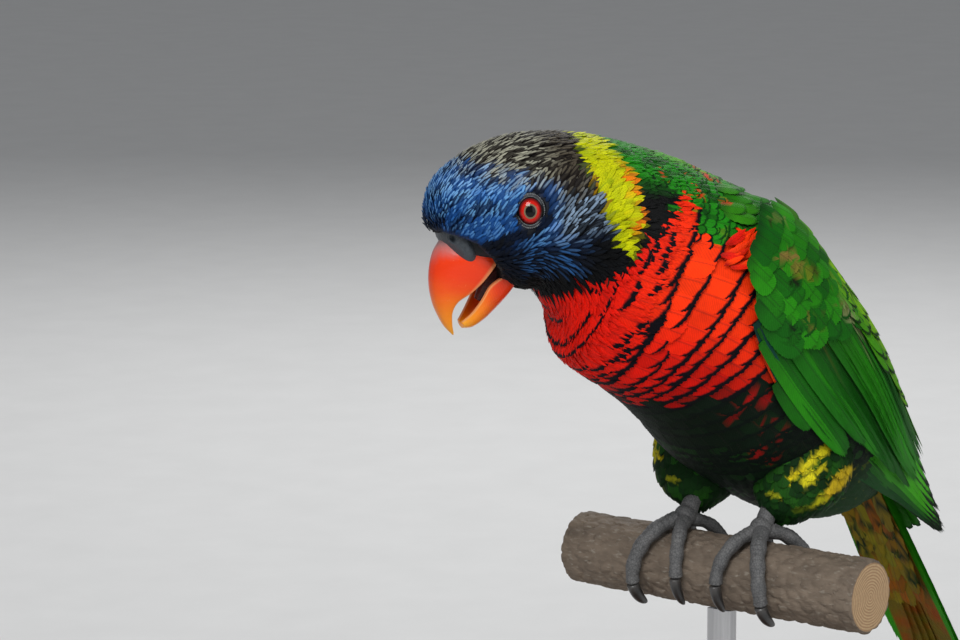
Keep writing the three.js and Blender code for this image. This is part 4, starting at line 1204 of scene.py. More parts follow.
def wing(side, name):
    rng = np.random.default_rng(60)
    sheet = WingSheet(side)
    strokes = WORN_STROKES if side > 0 else ()
    coverts = Coat(f"wing_coverts_{name}", COVERT_FEATHERS, "green_feathers")
    lay_coverts(coverts, sheet, strokes, rng)
    lay_back_vanes(coverts, sheet, strokes, rng)
    coverts.piece(feathers)
    flight = Coat(f"wing_flight_{name}", FLIGHT_FEATHERS, "green_feathers")
    lay_long_vanes(flight, sheet, strokes, rng)
    lay_primaries(flight, sheet, rng)
    for a, width, root, tip, lift, shade in LEADING_EDGE:
        flight.lay(sheet, np.array([float(root)]), np.array([a]), length=tip - root, width=width,
                   lift=lift, rise=0.3, turn=side * 7, thick=0.2, cup=0.3, ground=tint(shade)[None],
                   mark=tint("081c10")[None], look=look_of(1, 0.02, 0, rng))
    flight.piece(feathers, f"wing_{name}")


for name, side in SIDES:
    wing(side, name)


def overlaps():
    """Feathers of the body that reach over the front of the wings: green ones above, a red tuft below."""
    rng = np.random.default_rng(64)
    coat = Coat("coat_shoulders", BODY_FEATHERS, "green_feathers")
    for side in (1, -1):
        for k, s in enumerate(np.arange(57.0, 96.0, 2.2)):
            a = np.arange(30.0, 58.0 - 0.25 * abs(s - 62), 4.2) + 2.1 * (k % 2) + rng.normal(0, 0.8)
            n = len(a)
            if not n:
                continue
            points = BODY.at(np.full(n, s + 6), side * a)
            lit = smooth(-0.6, 0.8, wave(points, 5, 65))
            green = blend(plain_tint(tint("125a0d"), n), tint("2f7c10"), lit)
            coat.lay(BODY, np.full(n, s) + rng.normal(0, 0.5, n), side * a,
                     length=rng.uniform(6.5, 9, n), width=3.6, turn=side * rng.normal(10, 6, n), lift=0.0,
                     rise=2.0, thick=0.14, cup=0.35, ground=green,
                     mark=blend(green, tint("0a3a0a"), np.full(n, 0.6)), look=look_of(n, 0.05, 0, rng),
                     strokes=NAPE_STROKES)
    coat.piece(feathers)
    tuft = Coat("coat_bend", HACKLES, "red_feathers")
    for side in (1, -1):
        n = 26
        s = rng.uniform(58.0, 62.0, n)
        a = rng.uniform(74, 92, n)
        red = blend(plain_tint(RED, n), SCARLET, rng.uniform(0, 1, n))
        tuft.lay(BODY, s, side * a, length=rng.uniform(4, 7, n), width=1.7,
                 turn=-side * rng.normal(52, 14, n), lift=0.4, rise=rng.uniform(1.4, 2.4, n), thick=0.2,
                 cup=0.1, ground=red, mark=red, look=look_of(n, 0, 0, rng))
    tuft.piece(feathers)


overlaps()


# Tail
def tail_under(paint):
    """Orange-brown and olive, with green outer edges. The tail's feathers hold their side, 1 or -1, as the
    look's streak."""
    cloud = paint.noise(120.0, 3.0)[0]
    shade = paint.mix(cloud.step(0.35, 0.65), tuple(tint("8a420a")), tuple(tint("6b5c12")))
    across = paint.split(paint.node("ShaderNodeUVMap", {"uv_map": "vane"})[0])[0]
    outer = (across * paint.split(paint.field("look")[1])[1]).step(0.25, 0.5)
    return paint.mix(outer, shade, tuple(tint("2f8f12")))


def tail():
    rng = np.random.default_rng(70)
    coat = Coat("tail_feathers", FLIGHT_FEATHERS, "tail_feathers")
    for side in (1, -1):
        for k in range(6):
            ground = tint("2f8a14")[None] if k < 2 else tint("3f9a12")[None]
            coat.lay(TAIL, np.array([9.0]), np.array([side * (1.9 + 0.8 * k)]),
                     length=TAIL_LENGTH - 3 - 8.5 * k, width=8.6 - 0.3 * k, turn=side * 0.35 * k,
                     lift=0.2 - 0.8 * k, rise=0.0, thick=0.28, cup=0.2, ground=ground,
                     mark=tint("2f8a14")[None], look=look_of(1, 0.02, float(side), rng))
    coat.piece(plumage("tail_feathers", under=tail_under), "tail")
    over = Coat("coat_uppertail", BODY_FEATHERS, "tail_feathers")
    for k in range(4):
        out = np.linspace(-5.5, 5.5, 5) + 1.1 * (k % 2 - 0.5)
        over.lay(TAIL, 6 + 4.0 * k - 0.08 * out**2, out, length=15, width=6.5,
                 turn=rng.normal(0, 3, 5), lift=0.9, rise=1.8, thick=0.16, cup=0.3,
                 ground=plain_tint(tint("2f8a14"), 5),
                 mark=plain_tint(tint("174c12"), 5), look=look_of(5, 0.05, 0, rng))
    over.piece(feathers)
    vent = Coat("coat_undertail", BODY_FEATHERS, "tail_feathers")
    for k in range(7):
        out = np.linspace(-6, 6, 6) + 1.1 * (k % 2 - 0.5)
        shade = blend(plain_tint(tint("8a4c08"), 6), tint("7a7414"), rng.uniform(0, 1, 6))
        vent.lay(TAIL, 3 + 4.6 * k - 0.08 * out**2, out, length=22, width=5.6,
                 turn=rng.normal(0, 4, 6), lift=-4.8, rise=-1.5, thick=0.16, cup=-0.3, ground=shade,
                 mark=plain_tint(tint("4c5a12"), 6), look=look_of(6, 0.02, 0, rng), strokes=UNDERTAIL_STROKES)
    vent.piece(feathers)


tail()


# Eyes
def eye_frame(side):
    out = unit(HEAD_LEFT * side + 0.3 * HEADING + 0.04 * UP)
    across = unit(np.cross(UP, out))
    return head_point(3.2, 0.8, side * 11.4), out, across, np.cross(out, across)


EYE_RADIUS = 4.2
IRIS_NARROW, LID_NARROW = 0.86, 0.84
LID_REACH = 3.4  # from the line of sight to where the lid sits on the ball
LID_SEAT = math.sqrt(EYE_RADIUS**2 - LID_REACH**2)
BEAD_ROWS = ((3.32, 0.15, 0.42), (3.90, 0.19, 0.24))  # reach, bead size, and height over the lid's seat


def eye_paint():
    """The iris by the distance from the line of sight, in millimetres."""
    paint = Paint("eye", Roughness=0.06, IOR=1.34, Specular_IOR_Level=0.35, Coat_Weight=0.12,
                  Coat_Roughness=0.02)
    reach, spoke, _ = paint.split(paint.field("ring")[1])
    fibre = paint.noise(60.0, 3.0, vector=paint.joined(spoke, reach * 0.02, 0.0))[0]
    iris = paint.mix(fibre, colour(0.40, 0.003, 0.002), colour(0.68, 0.018, 0.007))
    iris = paint.mix(reach.step(2.1, 2.8), iris, colour(0.12, 0.002, 0.002))
    iris = paint.mix(reach.step(1.80, 1.68), iris, colour(0.17, 0.13, 0.075))
    iris = paint.mix(reach.step(1.42, 1.30), iris, colour(0.002, 0.002, 0.002))
    return paint.set(Base_Color=paint.mix(reach.step(2.82, 3.0), iris, colour(0.006, 0.006, 0.007)))


def lid_paint():
    paint = Paint("eyelid", Roughness=0.5)
    grain = paint.noise(2200.0, 3.0)[0]
    return paint.set(Base_Color=paint.mix(grain, colour(0.008, 0.009, 0.011), colour(0.035, 0.038, 0.045)),
                     Normal=paint.bump(grain, 0.0001))


def bead_paint():
    paint = Paint("eyelid_beads", Roughness=0.5)
    grain = paint.noise(3000.0, 2.0)[0]
    return paint.set(Base_Color=paint.mix(grain, colour(0.05, 0.055, 0.06), colour(0.22, 0.23, 0.24)))


def beads(name, path, size, seed, material):
    """Small warts strung along a closed path of points, by Geometry Nodes."""
    curve = bpy.data.curves.new(name, "CURVE")
    curve.dimensions = "3D"
    spline = curve.splines.new("POLY")
    spline.points.add(len(path) - 1)
    spline.points.foreach_set("co", np.column_stack([path * MM, np.ones(len(path))]).ravel())
    spline.use_cyclic_u = True
    string = bpy.data.objects.new(name, curve)
    bpy.context.scene.collection.objects.link(string)
    tree = bpy.data.node_groups.new(name, "GeometryNodeTree")
    face = tree.interface
    face.new_socket("Geometry", in_out="INPUT", socket_type="NodeSocketGeometry")
    sockets = {key: face.new_socket(key, in_out="INPUT", socket_type=kind) for key, kind in
               (("Bead size", "NodeSocketFloat"), ("Spacing", "NodeSocketFloat"), ("Seed", "NodeSocketInt"))}
    face.new_socket("Geometry", in_out="OUTPUT", socket_type="NodeSocketGeometry")

    def add(kind, **inputs):
        node = tree.nodes.new(kind)
        for key, value in inputs.items():
            if isinstance(value, bpy.types.NodeSocket):
                tree.links.new(value, node.inputs[key])
            else:
                node.inputs[key].default_value = value
        return node

    start = tree.nodes.new("NodeGroupInput")
    spots = tree.nodes.new("GeometryNodeCurveToPoints")
    spots.mode = "LENGTH"
    tree.links.new(start.outputs["Geometry"], spots.inputs["Curve"])
    tree.links.new(start.outputs["Spacing"], spots.inputs["Length"])
    bead = add("GeometryNodeMeshIcoSphere", Radius=start.outputs["Bead size"], Subdivisions=2)
    widest, narrowest = 1.15, 0.65
    scale = tree.nodes.new("FunctionNodeRandomValue")
    scale.data_type = "FLOAT"
    for socket in scale.inputs:
        if socket.enabled and socket.name in ("Min", "Max"):
            socket.default_value = narrowest if socket.name == "Min" else widest
    tree.links.new(start.outputs["Seed"], scale.inputs["Seed"])
    strung = add("GeometryNodeInstanceOnPoints", Points=spots.outputs["Points"],
                 Instance=bead.outputs["Mesh"],
                 Scale=next(socket for socket in scale.outputs if socket.enabled))
    real = add("GeometryNodeRealizeInstances", Geometry=strung.outputs["Instances"])
    dressed = add("GeometryNodeSetMaterial", Geometry=real.outputs["Geometry"], Material=material)
    end = tree.nodes.new("NodeGroupOutput")
    tree.links.new(dressed.outputs["Geometry"], end.inputs["Geometry"])
    maker = string.modifiers.new(name, "NODES")
    maker.node_group = tree
    for key, value in (("Bead size", size * MM), ("Spacing", size * 2.1 * MM), ("Seed", seed)):
        maker[sockets[key].identifier] = value
    mesh = bpy.data.meshes.new_from_object(string.evaluated_get(bpy.context.evaluated_depsgraph_get()))
    bpy.data.objects.remove(string)
    piece = bpy.data.objects.new(name, mesh)
    bpy.context.scene.collection.objects.link(piece)
    fitted(piece, "claw")


def eyeball(name, side, material):
    middle, out, across, upward = eye_frame(side)
    rows, columns = 60, 48
    turn = turns(columns)
    around = across * np.cos(turn)[:, None] + upward * np.sin(turn)[:, None]
    lean = np.radians(np.linspace(0.5, 179.5, rows))
    grid = (middle + out * (EYE_RADIUS * np.cos(lean))[:, None, None]
            + around[None] * (EYE_RADIUS * np.sin(lean))[:, None, None])
    points, faces = closed_ends(grid)
    behind = 9.0  # past the iris, for the half of the ball that isn't seen
    front = np.where(lean < math.pi / 2, EYE_RADIUS * np.sin(lean), behind)
    oval = np.hypot(np.cos(turn) / IRIS_NARROW, np.sin(turn))
    ring = np.stack([(front[:, None] * oval).ravel(), np.tile(turn, rows), np.zeros(rows * columns)], 1)
    ring = np.concatenate([ring, [[0, 0, 0], [behind, 0, 0]]])
    made = mesh_piece(f"eyeball_{name}", points, faces, material, fields={"ring": ring}, sharp=None)
    fitted(made, "eye", f"eye_{name}")


def eyelid(name, side, material):
    """A ring of bare skin round the eye."""
    middle, out, across, upward = eye_frame(side)
    rows, columns = 64, 14
    tube = turns(columns)
    reach = 3.56 + 0.56 * np.cos(tube)
    height = LID_SEAT + 0.35 * np.sin(tube) - 0.25 * (reach - LID_REACH)
    turn = turns(rows)[:, None]
    spoke = across * np.cos(turn) * LID_NARROW + upward * np.sin(turn)
    wobble = 1 + 0.02 * np.sin(5 * turn) + 0.012 * np.sin(11 * turn)
    points = middle + spoke[:, None] * (reach * wobble)[..., None] + out * height[:, None]
    quads = grid_faces(rows + 1, columns, closed=True) % (rows * columns)
    faces = np.concatenate([quads[:, [0, 1, 2]], quads[:, [0, 2, 3]]])
    points, faces = facing_out(points.reshape(-1, 3) - middle, faces)
    made = mesh_piece(f"eyelid_{name}", points + middle, faces, material, sharp=None)
    fitted(made, "claw")


def lid_beads(name, side, material):
    middle, out, across, upward = eye_frame(side)
    turn = turns(90)[:, None]
    spoke = across * np.cos(turn) * LID_NARROW + upward * np.sin(turn)
    for n, (reach, size, lift) in enumerate(BEAD_ROWS):
        path = middle + spoke * reach + out * (LID_SEAT + lift)
        beads(f"eyelid_beads_{name}_{n + 1}", path, size, 5 + n, material)


def eyes():
    ball, lid, dots = eye_paint(), lid_paint(), bead_paint()
    for name, side in SIDES:
        eyeball(name, side, ball)
        eyelid(name, side, lid)
        lid_beads(name, side, dots)


eyes()


# Bill, cere and tongue
UPPER_BILL = [  # the ridge line, the cutting edge, and the half width
    (19.4, -5.6, 8.6, -10.8, 6.8), (22.0, -9.4, 10.4, -13.4, 6.8), (23.1, -13.5, 12.4, -16.2, 6.0),
    (23.2, -17.5, 14.9, -18.8, 5.0), (22.5, -21.2, 17.6, -20.9, 3.9), (21.3, -24.2, 18.6, -23.4, 2.8),
    (19.7, -27.0, 18.3, -26.4, 1.7), (17.6, -29.2, 17.6, -28.5, 0.6)]
BILL_ARCH = [(0, 0), (0.06, 0.42), (0.3, 0.78), (0.65, 0.97), (1, 1), (0.94, 0.72), (0.84, 0.3), (0.8, 0)]
LOWER_BILL = [  # the upper edge of its wall, the keel, and the half width
    (5.0, -14.4, 2.6, -17.6, 5.2), (7.4, -15.6, 4.6, -20.4, 5.2), (10.1, -17.6, 7.5, -23.4, 4.9),
    (12.0, -21.0, 10.4, -25.9, 4.3), (14.0, -24.0, 13.2, -27.5, 3.3), (15.8, -26.0, 15.4, -27.6, 1.9)]
LOWER_BILL_WALL = 1.1
SCOOP = [(0, -1), (0.42, -0.96), (0.8, -0.66), (1, 0), (0.8, 0.66), (0.42, 0.96), (0, 1)]


def bill_paint():
    """Orange-red paling to yellow at the tip and along the edge, with growth lines and a dull pinkish-grey
    root, whose paleness along the ridge is partly the bill's own colour and partly a painted highlight.
    """
    paint = Paint("bill", IOR=1.42, Specular_IOR_Level=0.35, Coat_Roughness=0.15)
    along, down, _ = paint.split(paint.field("bill")[1])
    cloud = paint.noise(260.0, 4.0)[0]
    reach = along + (cloud - 0.5) * 0.12
    shade = paint.mix(reach.step(0.25, 0.9), colour(0.80, 0.040, 0.003), colour(0.90, 0.27, 0.006))
    shade = paint.mix(reach.step(0.78, 1.0) * 0.6, shade, colour(0.88, 0.42, 0.03))
    shade = paint.mix(down.step(0.90, 0.99) * 0.6, shade, colour(0.85, 0.42, 0.16))
    # Pinkish grey at the root, strongest along the ridge: partly the bill's own colour there, partly a
    # painted highlight
    root = (along + down * 0.30 + (cloud - 0.5) * 0.16).step(0.26, 0.06)
    shade = paint.mix(root * 0.85, shade, colour(0.36, 0.23, 0.23))
    flake = paint.noise(1800.0, 4.0)[0]
    shade = paint.mix(flake.step(0.66, 0.8) * 0.35, shade, colour(0.95, 0.5, 0.2))
    lines = ((along * 190.0) + cloud * 9.0).math("SINE")
    return paint.set(Base_Color=shade, Roughness=flake * 0.18 + 0.24, Coat_Weight=root * -0.1 + 0.12,
                     Normal=paint.bump(lines * 0.25 + flake, 0.00006, 0.5))


def bill_points(edges, down, out):
    """Points a share of the way down from one edge line of the bill to the other, and out to the side."""
    x1, z1, x2, z2 = edges
    return (HEAD_CENTRE + (x1 + (x2 - x1) * down)[..., None] * HEADING
            + (z1 + (z2 - z1) * down)[..., None] * UP + out[..., None] * HEAD_LEFT)


def bill_piece(name, points, down, material, node, sharp):
    """A half of the bill, with the shares along it and down it as a field for its paint."""
    rows, columns = points.shape[:2]
    share = np.zeros((rows, columns, 3))
    share[..., 0] = np.linspace(0, 1, rows)[:, None]
    share[..., 1] = down
    share = np.concatenate([share.reshape(-1, 3), [[0, 0.5, 0], [1, 0.5, 0]]])
    fitted(mesh_piece(name, *closed_ends(points), material, fields={"bill": share}, sharp=sharp),
           "bill", node)


def upper_bill(material):
    *edges, wide = through(UPPER_BILL, np.linspace(0, len(UPPER_BILL) - 1, 60)).T[:, :, None]
    arch = through(BILL_ARCH, np.linspace(0, len(BILL_ARCH) - 1, 30))
    down, out = np.concatenate([arch, arch[-2:0:-1] * [1, -1]]).T[:, None]
    points = bill_points(edges, down, np.maximum(wide, 0.25) * out)
    bill_piece("upper_bill", points, down, material, "bill_upper", 40)


def lower_bill(material):
    *edges, wide = through(LOWER_BILL, np.linspace(0, len(LOWER_BILL) - 1, 48)).T[:, :, None]
    deep = np.hypot(edges[2] - edges[0], edges[3] - edges[1])
    scoop = through(SCOOP, np.linspace(0, len(SCOOP) - 1, 33))
    sheets = []
    for wall in (0.0, LOWER_BILL_WALL):
        down = scoop[None, :, 0] * (1 - wall / deep)
        out = np.maximum(wide - wall, wide * 0.3) * scoop[None, :, 1]
        sheets.append(bill_points(edges, down, out))
    # Outer wall, a rounded lip, and back along the inner wall
    outer, inner = sheets[0], sheets[1][:, ::-1]
    lips = [(outer[:, -1] + inner[:, 0]) / 2, (inner[:, -1] + outer[:, 0]) / 2]
    lips = [(lip + 0.22 * unit(outer[:, 0] - outer[:, 16]))[:, None] for lip in lips]
    loop = np.concatenate([outer, lips[0], inner, lips[1]], 1)
    down = np.concatenate([scoop[:, 0], [-0.05], scoop[::-1, 0], [-0.05]])
    bill_piece("lower_bill", loop, 1 - down, material, "bill_lower", 60)


def cere_paint():
    paint = Paint("cere", IOR=1.45)
    grain = paint.noise(1500.0, 4.0)[0]
    return paint.set(Base_Color=paint.mix(grain, colour(0.012, 0.017, 0.022), colour(0.075, 0.09, 0.105)),
                     Roughness=grain * 0.2 + 0.4, Normal=paint.bump(grain, 0.00018))


def cere(material):
    """The bare skin over the bill's root: a flattened ball that leans, with two rimmed nostrils."""
    turn = turns(96)
    tilt = np.radians(np.linspace(1, 179, 60))[:, None]
    wide, tall, deep = 7.6, 7.4, 3.3
    x, y = wide * np.sin(tilt) * np.cos(turn), tall * np.sin(tilt) * np.sin(turn)
    z = deep * np.cos(tilt) + 0 * turn
    forward = CERE_AT[0] + (y * math.cos(CERE_LEAN) - z * math.sin(CERE_LEAN))
    up = CERE_AT[1] + (y * math.sin(CERE_LEAN) + z * math.cos(CERE_LEAN))
    points = HEAD_CENTRE + forward[..., None] * HEADING + up[..., None] * UP + x[..., None] * HEAD_LEFT
    points, faces = closed_ends(points)
    middle = head_point(*CERE_AT)
    for side in (1, -1):
        nostril = head_point(*NOSTRIL[:2], side * NOSTRIL[2])
        away = np.linalg.norm(points - nostril, axis=1)
        points = points - unit(points - middle) * (1.3 * smooth(1.25, 0.55, away))[:, None]
        points = points + unit(points - middle) * (0.28 * smooth(0.5, 0, np.abs(away - 1.55)))[:, None]
    fitted(mesh_piece("cere", points, faces, material, sharp=None), "claw")


horn = bill_paint()
upper_bill(horn)
lower_bill(horn)
cere(cere_paint())


# Feet and claws
FOOT_SPREAD = 11.0
TOES = [(108, 7.5, 2.0), (92, -5.2, 1.84), (-104, 7.0, 1.9), (-72, -4.5, 1.7)]  # turn, splay and radius
CLAW_TURN, CLAW_SEAM = 40.0, 4.2  # degrees round the perch that a claw takes, and from the toe's end to it
CLAW_ROOT = 3.5  # degrees by which a claw's root is sunk in its toe
TOE_ROWS, TOE_COLUMNS = 120, 28
SCUTE, TOE_JOINT = 1.25, 5.2


def round_perch(side, turn, splay, reach):
    angle = np.radians(turn)
    return PERCH + np.stack([-np.sin(angle) * reach, -side * (FOOT_SPREAD + splay) + 0 * angle,
                             np.cos(angle) * reach], -1)


def swept(line, radius, columns, guide):
    """Rings round a line: a radius for each ring and column, the first column towards the guide's side."""
    along = unit(np.gradient(line, axis=0))
    first = unit(guide - along * np.sum(guide * along, -1, keepdims=True))
    second = np.cross(along, first)
    turn = turns(columns)
    spokes = first[:, None] * np.cos(turn)[None, :, None] + second[:, None] * np.sin(turn)[None, :, None]
    return line[:, None] + spokes * radius[..., None]


def off_perch(line):
    """The directions to the points of a line from the perch's axis."""
    return unit(line - (PERCH + (line - PERCH) * [0, 1, 0]))


def toe(side, turn, splay, radius):
    """A toe bent round the perch, with scutes on top and pads below."""
    top = np.maximum(np.cos(turns(TOE_COLUMNS)), 0)[None]
    t = np.linspace(0, 1, TOE_ROWS)
    start = math.copysign(4, turn)
    spread = splay * (0.1 + 0.9 * np.sin(t * math.pi / 2))
    line = round_perch(side, start + (turn - start) * t, spread,
                       PERCH_RADIUS + 0.51 + radius * (1 - 0.1 * t))
    length = np.linalg.norm(np.diff(line, axis=0), axis=1).sum()
    saw = 1 - (t * length / SCUTE)[:, None] % 1
    phase = t * length / TOE_JOINT * 2 * math.pi
    joint = 0.05 * np.sin(phase)[:, None]
    shape = radius * (1 - 0.14 * t)[:, None] * (0.93 + 0.085 * saw * top**0.6 + joint)
    pad = 0.05 * (1 + np.cos(phase + math.pi))[:, None] * (1 - top)
    shape = shape * (1 + pad) * np.minimum(1, 0.55 + 3 * (1 - t) ** 0.5)[:, None]
    return closed_ends(swept(line, shape, TOE_COLUMNS, off_perch(line)))


def talon(side, name, turn, splay, radius, material):
    rows, columns = 30, 20
    u = np.linspace(0, 1, rows)
    angle = turn + math.copysign(1, turn) * (CLAW_SEAM - CLAW_ROOT + (CLAW_TURN + CLAW_ROOT) * u)
    line = round_perch(side, angle, splay + 0 * u, PERCH_RADIUS + 0.54 + radius * (1.05 - 0.5 * u))
    taper = radius * 0.76 * np.sqrt(np.maximum(1 - u**1.6, 0.012))
    squash = 1 + 0.12 * np.cos(2 * turns(columns))[None]
    points, faces = closed_ends(swept(line, taper[:, None] * squash, columns, off_perch(line)))
    share = np.concatenate([np.stack([np.repeat(u, columns)] * 3, 1), [[0, 0, 0], [1, 1, 1]]])
    made = mesh_piece(f"talon_{name}", points, faces, material, fields={"claw": share}, sharp=None)
    fitted(made, "claw", f"claw_{name}")


def shank(side):
    """The scaled leg from the thigh to the perch, and the ball of the foot."""
    turn = turns(TOE_COLUMNS)
    top = np.maximum(np.cos(turn), 0)[None]
    ankle = PERCH + np.array([0, -side * FOOT_SPREAD, PERCH_RADIUS + 3.1])
    t = np.linspace(0, 1, 90)
    line = ankle + through([(9.5, 0, 10.5), (5, 0, 6), (1, 0, 0.6), (-0.6, 0, -0.6)], t * 3)
    saw = (t * 14 / 1.6)[:, None] % 1
    swell = (1 + 0.16 * np.exp(-((t - 0.75) / 0.12) ** 2))[:, None]
    shape = 2.25 * (0.95 + 0.06 * saw * top) * swell
    leg = closed_ends(swept(line, shape, TOE_COLUMNS, np.tile([-0.7, 0, 0.7], (90, 1))))
    lean = np.radians(np.linspace(2, 178, 24))[:, None]
    ball = np.stack([np.sin(lean) * np.cos(turn), np.sin(lean) * np.sin(turn), np.cos(lean) + 0 * turn], -1)
    return [leg, closed_ends(ankle + 2.75 * ball)]


def foot(side, name, skin_material, claw_material):
    parts = []
    for k, (turn, splay, radius) in enumerate(TOES):
        parts.append(toe(side, turn, splay, radius))
        talon(side, f"{name}_{k + 1}", turn, splay, radius, claw_material)
    parts += shank(side)
    starts = np.cumsum([0] + [len(points) for points, _ in parts])
    made = mesh_piece(f"toes_{name}", np.concatenate([points for points, _ in parts]),
                      np.concatenate([faces + start for (_, faces), start in zip(parts, starts)]),
                      skin_material, sharp=None)
    fitted(made, "foot_skin", f"foot_{name}")


def foot_paint():
    paint = Paint("foot_skin")
    cells = paint.node("ShaderNodeTexVoronoi", {"feature": "DISTANCE_TO_EDGE"},
                       {"Vector": paint.place(), "Scale": 1500.0})[0]
    crack = cells.step(0.12, 0.02)
    cloud = paint.noise(350.0, 4.0)[0]
    shade = paint.mix(cloud, colour(0.045, 0.047, 0.05), colour(0.17, 0.168, 0.165))
    shade = paint.mix(crack * 0.6, shade, colour(0.012, 0.012, 0.014))
    return paint.set(Base_Color=shade, Roughness=cloud * 0.2 + 0.5, Normal=paint.bump(cells, 0.0002, 0.8))


def claw_paint():
    paint = Paint("claw")
    along = paint.field("claw")[2]
    grain = paint.noise(900.0, 3.0)[0]
    shade = paint.mix(grain, colour(0.008, 0.008, 0.009), colour(0.03, 0.028, 0.027))
    return paint.set(Base_Color=paint.mix(along.step(0.3, 0.0) * 0.5, shade, colour(0.09, 0.085, 0.08)),
                     Roughness=grain * 0.15 + 0.28, Normal=paint.bump(grain, 0.00008))


foot_skin, claw_horn = foot_paint(), claw_paint()
for name, side in SIDES:
    foot(side, name, foot_skin, claw_horn)


# Stand: a cut branch on a post and a turned base
KNOTS = ((-5.4, -33, 7.2), (8.6, 22, -2.5), (-8.0, 33, -4.2))  # middles, from the perch's own middle
END_RINGS = (0.86, 0.6, 0.3, 0.05)  # shares of the radius at which the cut ends have rings


def perch():
    rows, columns = 240, 120
    y = np.linspace(-PERCH_LENGTH / 2, PERCH_LENGTH / 2, rows)[:, None]
    turn = turns(columns)[None]
    spots = np.stack([np.sin(turn) * PERCH_RADIUS + 0 * y, y + 0 * turn,
                      np.cos(turn) * PERCH_RADIUS + 0 * y], -1).reshape(-1, 3)
    flat = spots * [1, 0.35, 1]
    grooves = np.abs(wave(flat, 3.2, 81)) + 0.5 * np.abs(wave(flat, 1.6, 82))
    knots = sum(np.exp(-np.sum((spots - knot) ** 2, 1) / 9) for knot in KNOTS)
    sunk = np.clip(0.62 - 0.5 * np.clip(grooves, 0, 1.2), 0.02, 0.8)
    reach = PERCH_RADIUS - sunk * (1 - 0.7 * np.clip(knots, 0, 1))
    ends = smooth(0, 0.5, PERCH_LENGTH / 2 - np.abs(spots[:, 1]))
    reach = (reach - 0.45 * (1 - ends)).reshape(rows, columns)
    side = PERCH + np.stack([np.sin(turn) * reach, y + 0 * turn, np.cos(turn) * reach], -1)
    rings = [side]
    for k in END_RINGS:
        first, last = (PERCH + (side[[at]] - PERCH) * [k, 1, k] for at in (0, -1))
        rings = [first, *rings, last]
    points, faces = closed_ends(np.concatenate(rings))
    fitted(mesh_piece("branch", points, faces, bark_paint(), sharp=35), "perch_bark", "perch")


def bark_paint():
    paint = Paint("perch_bark")
    x, y, z = paint.split(paint.place())
    z = z - PERCH[2] * MM
    reach = (x * x + z * z) ** 0.5
    stretched = paint.joined(x, y * 0.3, z)
    cloud = paint.noise(300.0, 6.0, vector=stretched)[0]
    fine = paint.noise(1400.0, 4.0, vector=stretched)[0]
    bark = paint.mix(cloud, colour(0.05, 0.036, 0.026), colour(0.24, 0.185, 0.135))
    bark = paint.mix(fine.step(0.55, 0.75) * 0.5, bark, colour(0.33, 0.30, 0.25))
    rings = ((reach * 9000.0) + cloud * 5.0).math("SINE")
    wood = paint.mix(rings * 0.5 + 0.5, colour(0.34, 0.2, 0.1), colour(0.52, 0.36, 0.2))
    half = PERCH_LENGTH / 2 * MM
    end = y.math("ABSOLUTE").step(half - 0.00012, half - 0.00004) * reach.step(0.0083, 0.0079)
    return paint.set(Base_Color=paint.mix(end, bark, wood), Roughness=fine * 0.2 + 0.72,
                     Normal=paint.bump(fine + cloud, 0.0004, 0.7))


perch()


def wood_paint():
    paint = Paint("stand_wood", IOR=1.5, Coat_Roughness=0.2)
    x, y, z = paint.split(paint.place())
    grain = paint.noise(55.0, 5.0, vector=paint.joined(x * 0.22, y * 2.2, z * 2.2), distortion=0.5)[0]
    pore = paint.noise(900.0, 3.0, vector=paint.joined(x * 0.06, y, z))[0]
    bands = (grain * 34.0).math("SINE") * 0.5 + 0.5
    shade = paint.mix(bands, colour(0.085, 0.036, 0.016), colour(0.20, 0.092, 0.04))
    shade = paint.mix(pore.step(0.6, 0.72) * 0.6, shade, colour(0.03, 0.013, 0.007))
    return paint.set(Base_Color=shade, Roughness=pore * 0.15 + 0.34, Coat_Weight=grain * 0.2 + 0.15,
                     Normal=paint.bump(pore, 0.00008))


def steel_paint():
    paint = Paint("stand_metal", Metallic=1.0)
    x, y, z = paint.split(paint.place())
    brushed = paint.noise(2500.0, 3.0, vector=paint.joined(x, y, z * 0.02))[0]
    return paint.set(Base_Color=paint.mix(brushed, colour(0.42, 0.42, 0.43), colour(0.62, 0.62, 0.63)),
                     Roughness=brushed * 0.2 + 0.22, Normal=paint.bump(brushed, 0.00002))


def tongue_paint():
    paint = Paint("tongue", Subsurface_Weight=0.1)
    grain = paint.noise(1600.0, 3.0)[0]
    # Red darkened almost to black: the tongue's own dark red, and painted shade inside the mouth
    return paint.set(Base_Color=paint.mix(grain, colour(0.03, 0.012, 0.014), colour(0.12, 0.05, 0.05)),
                     Roughness=grain * 0.2 + 0.3, Normal=paint.bump(grain, 0.0001))


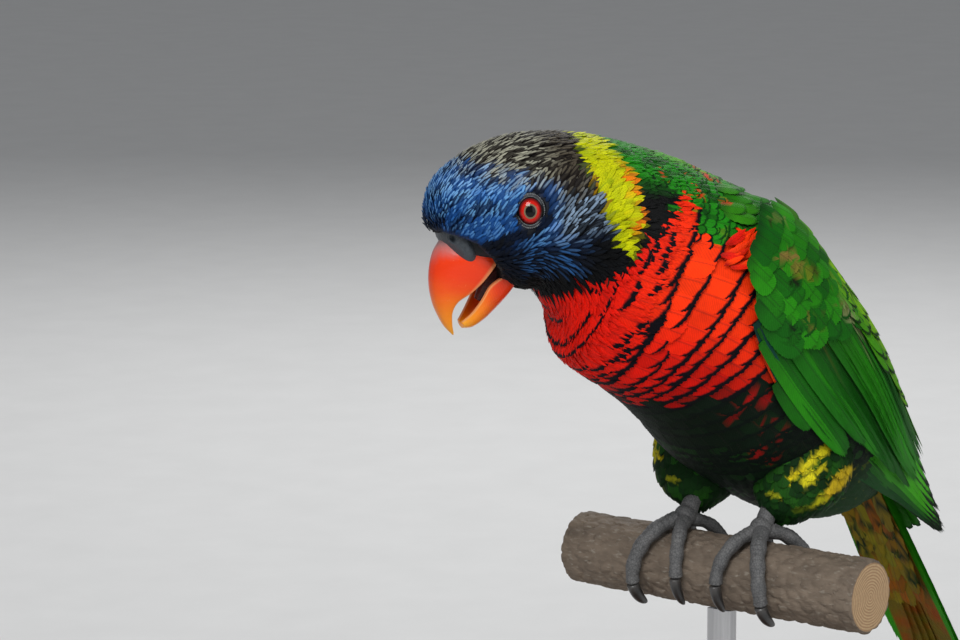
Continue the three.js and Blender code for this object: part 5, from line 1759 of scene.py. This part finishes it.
for node, paint in (("stand_base", wood_paint()), ("stand_post", steel_paint()), ("tongue", tongue_paint())):
    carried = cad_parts[node]
    carried.data.materials.clear()
    carried.data.materials.append(paint)


# Studio
def camera():
    data = bpy.data.cameras.new("camera")
    data.sensor_width = 36.0
    data.lens = VIEW_FOCAL / PICTURE_WIDE * data.sensor_width
    data.clip_start, data.clip_end = 0.05, 20
    made = bpy.data.objects.new("camera", data)
    axes = np.stack([VIEW_RIGHT, VIEW_UP, VIEW_BACK, VIEW_EYE * MM], 1)
    made.matrix_world = Matrix([*axes.tolist(), (0, 0, 0, 1)])
    bpy.context.scene.collection.objects.link(made)
    bpy.context.scene.camera = made


def lamp(name, place, aim, size, power):
    data = bpy.data.lights.new(name, "AREA")
    data.size, data.energy = size, power
    made = bpy.data.objects.new(name, data)
    made.location = Vector(place)
    made.rotation_euler = (Vector(aim) - Vector(place)).to_track_quat("-Z", "Y").to_euler()
    bpy.context.scene.collection.objects.link(made)


def floor_paint():
    paint = Paint("floor", Roughness=0.8)
    grain = paint.noise(40.0, 3.0)[0]
    return paint.set(Base_Color=paint.mix(grain, colour(0.60, 0.60, 0.595), colour(0.66, 0.66, 0.655)))


FLOOR_REACH = 3000


def studio():
    corners = np.array([(-1, -1, 0), (1, -1, 0), (1, 1, 0), (-1, 1, 0)]) * FLOOR_REACH
    floor = mesh_piece("floor", corners, [(0, 1, 2, 3)], floor_paint(), sharp=None)
    world = bpy.data.worlds.new("studio")
    bpy.context.scene.world = world
    world.use_nodes = True
    sky = world.node_tree.nodes["Background"].inputs
    sky["Color"].default_value = (0.8, 0.82, 0.85, 1)
    sky["Strength"].default_value = 0.34
    bpy.context.scene.view_settings.view_transform = "Standard"
    aim = (-0.01, 0.0, 0.15)
    lamp("key", (-0.75, -0.35, 0.9), aim, 0.45, 9)
    lamp("fill", (-0.3, -1.1, 0.35), aim, 0.8, 2.5)
    lamp("rim", (0.7, 0.5, 0.8), aim, 0.5, 6)


camera()
studio()
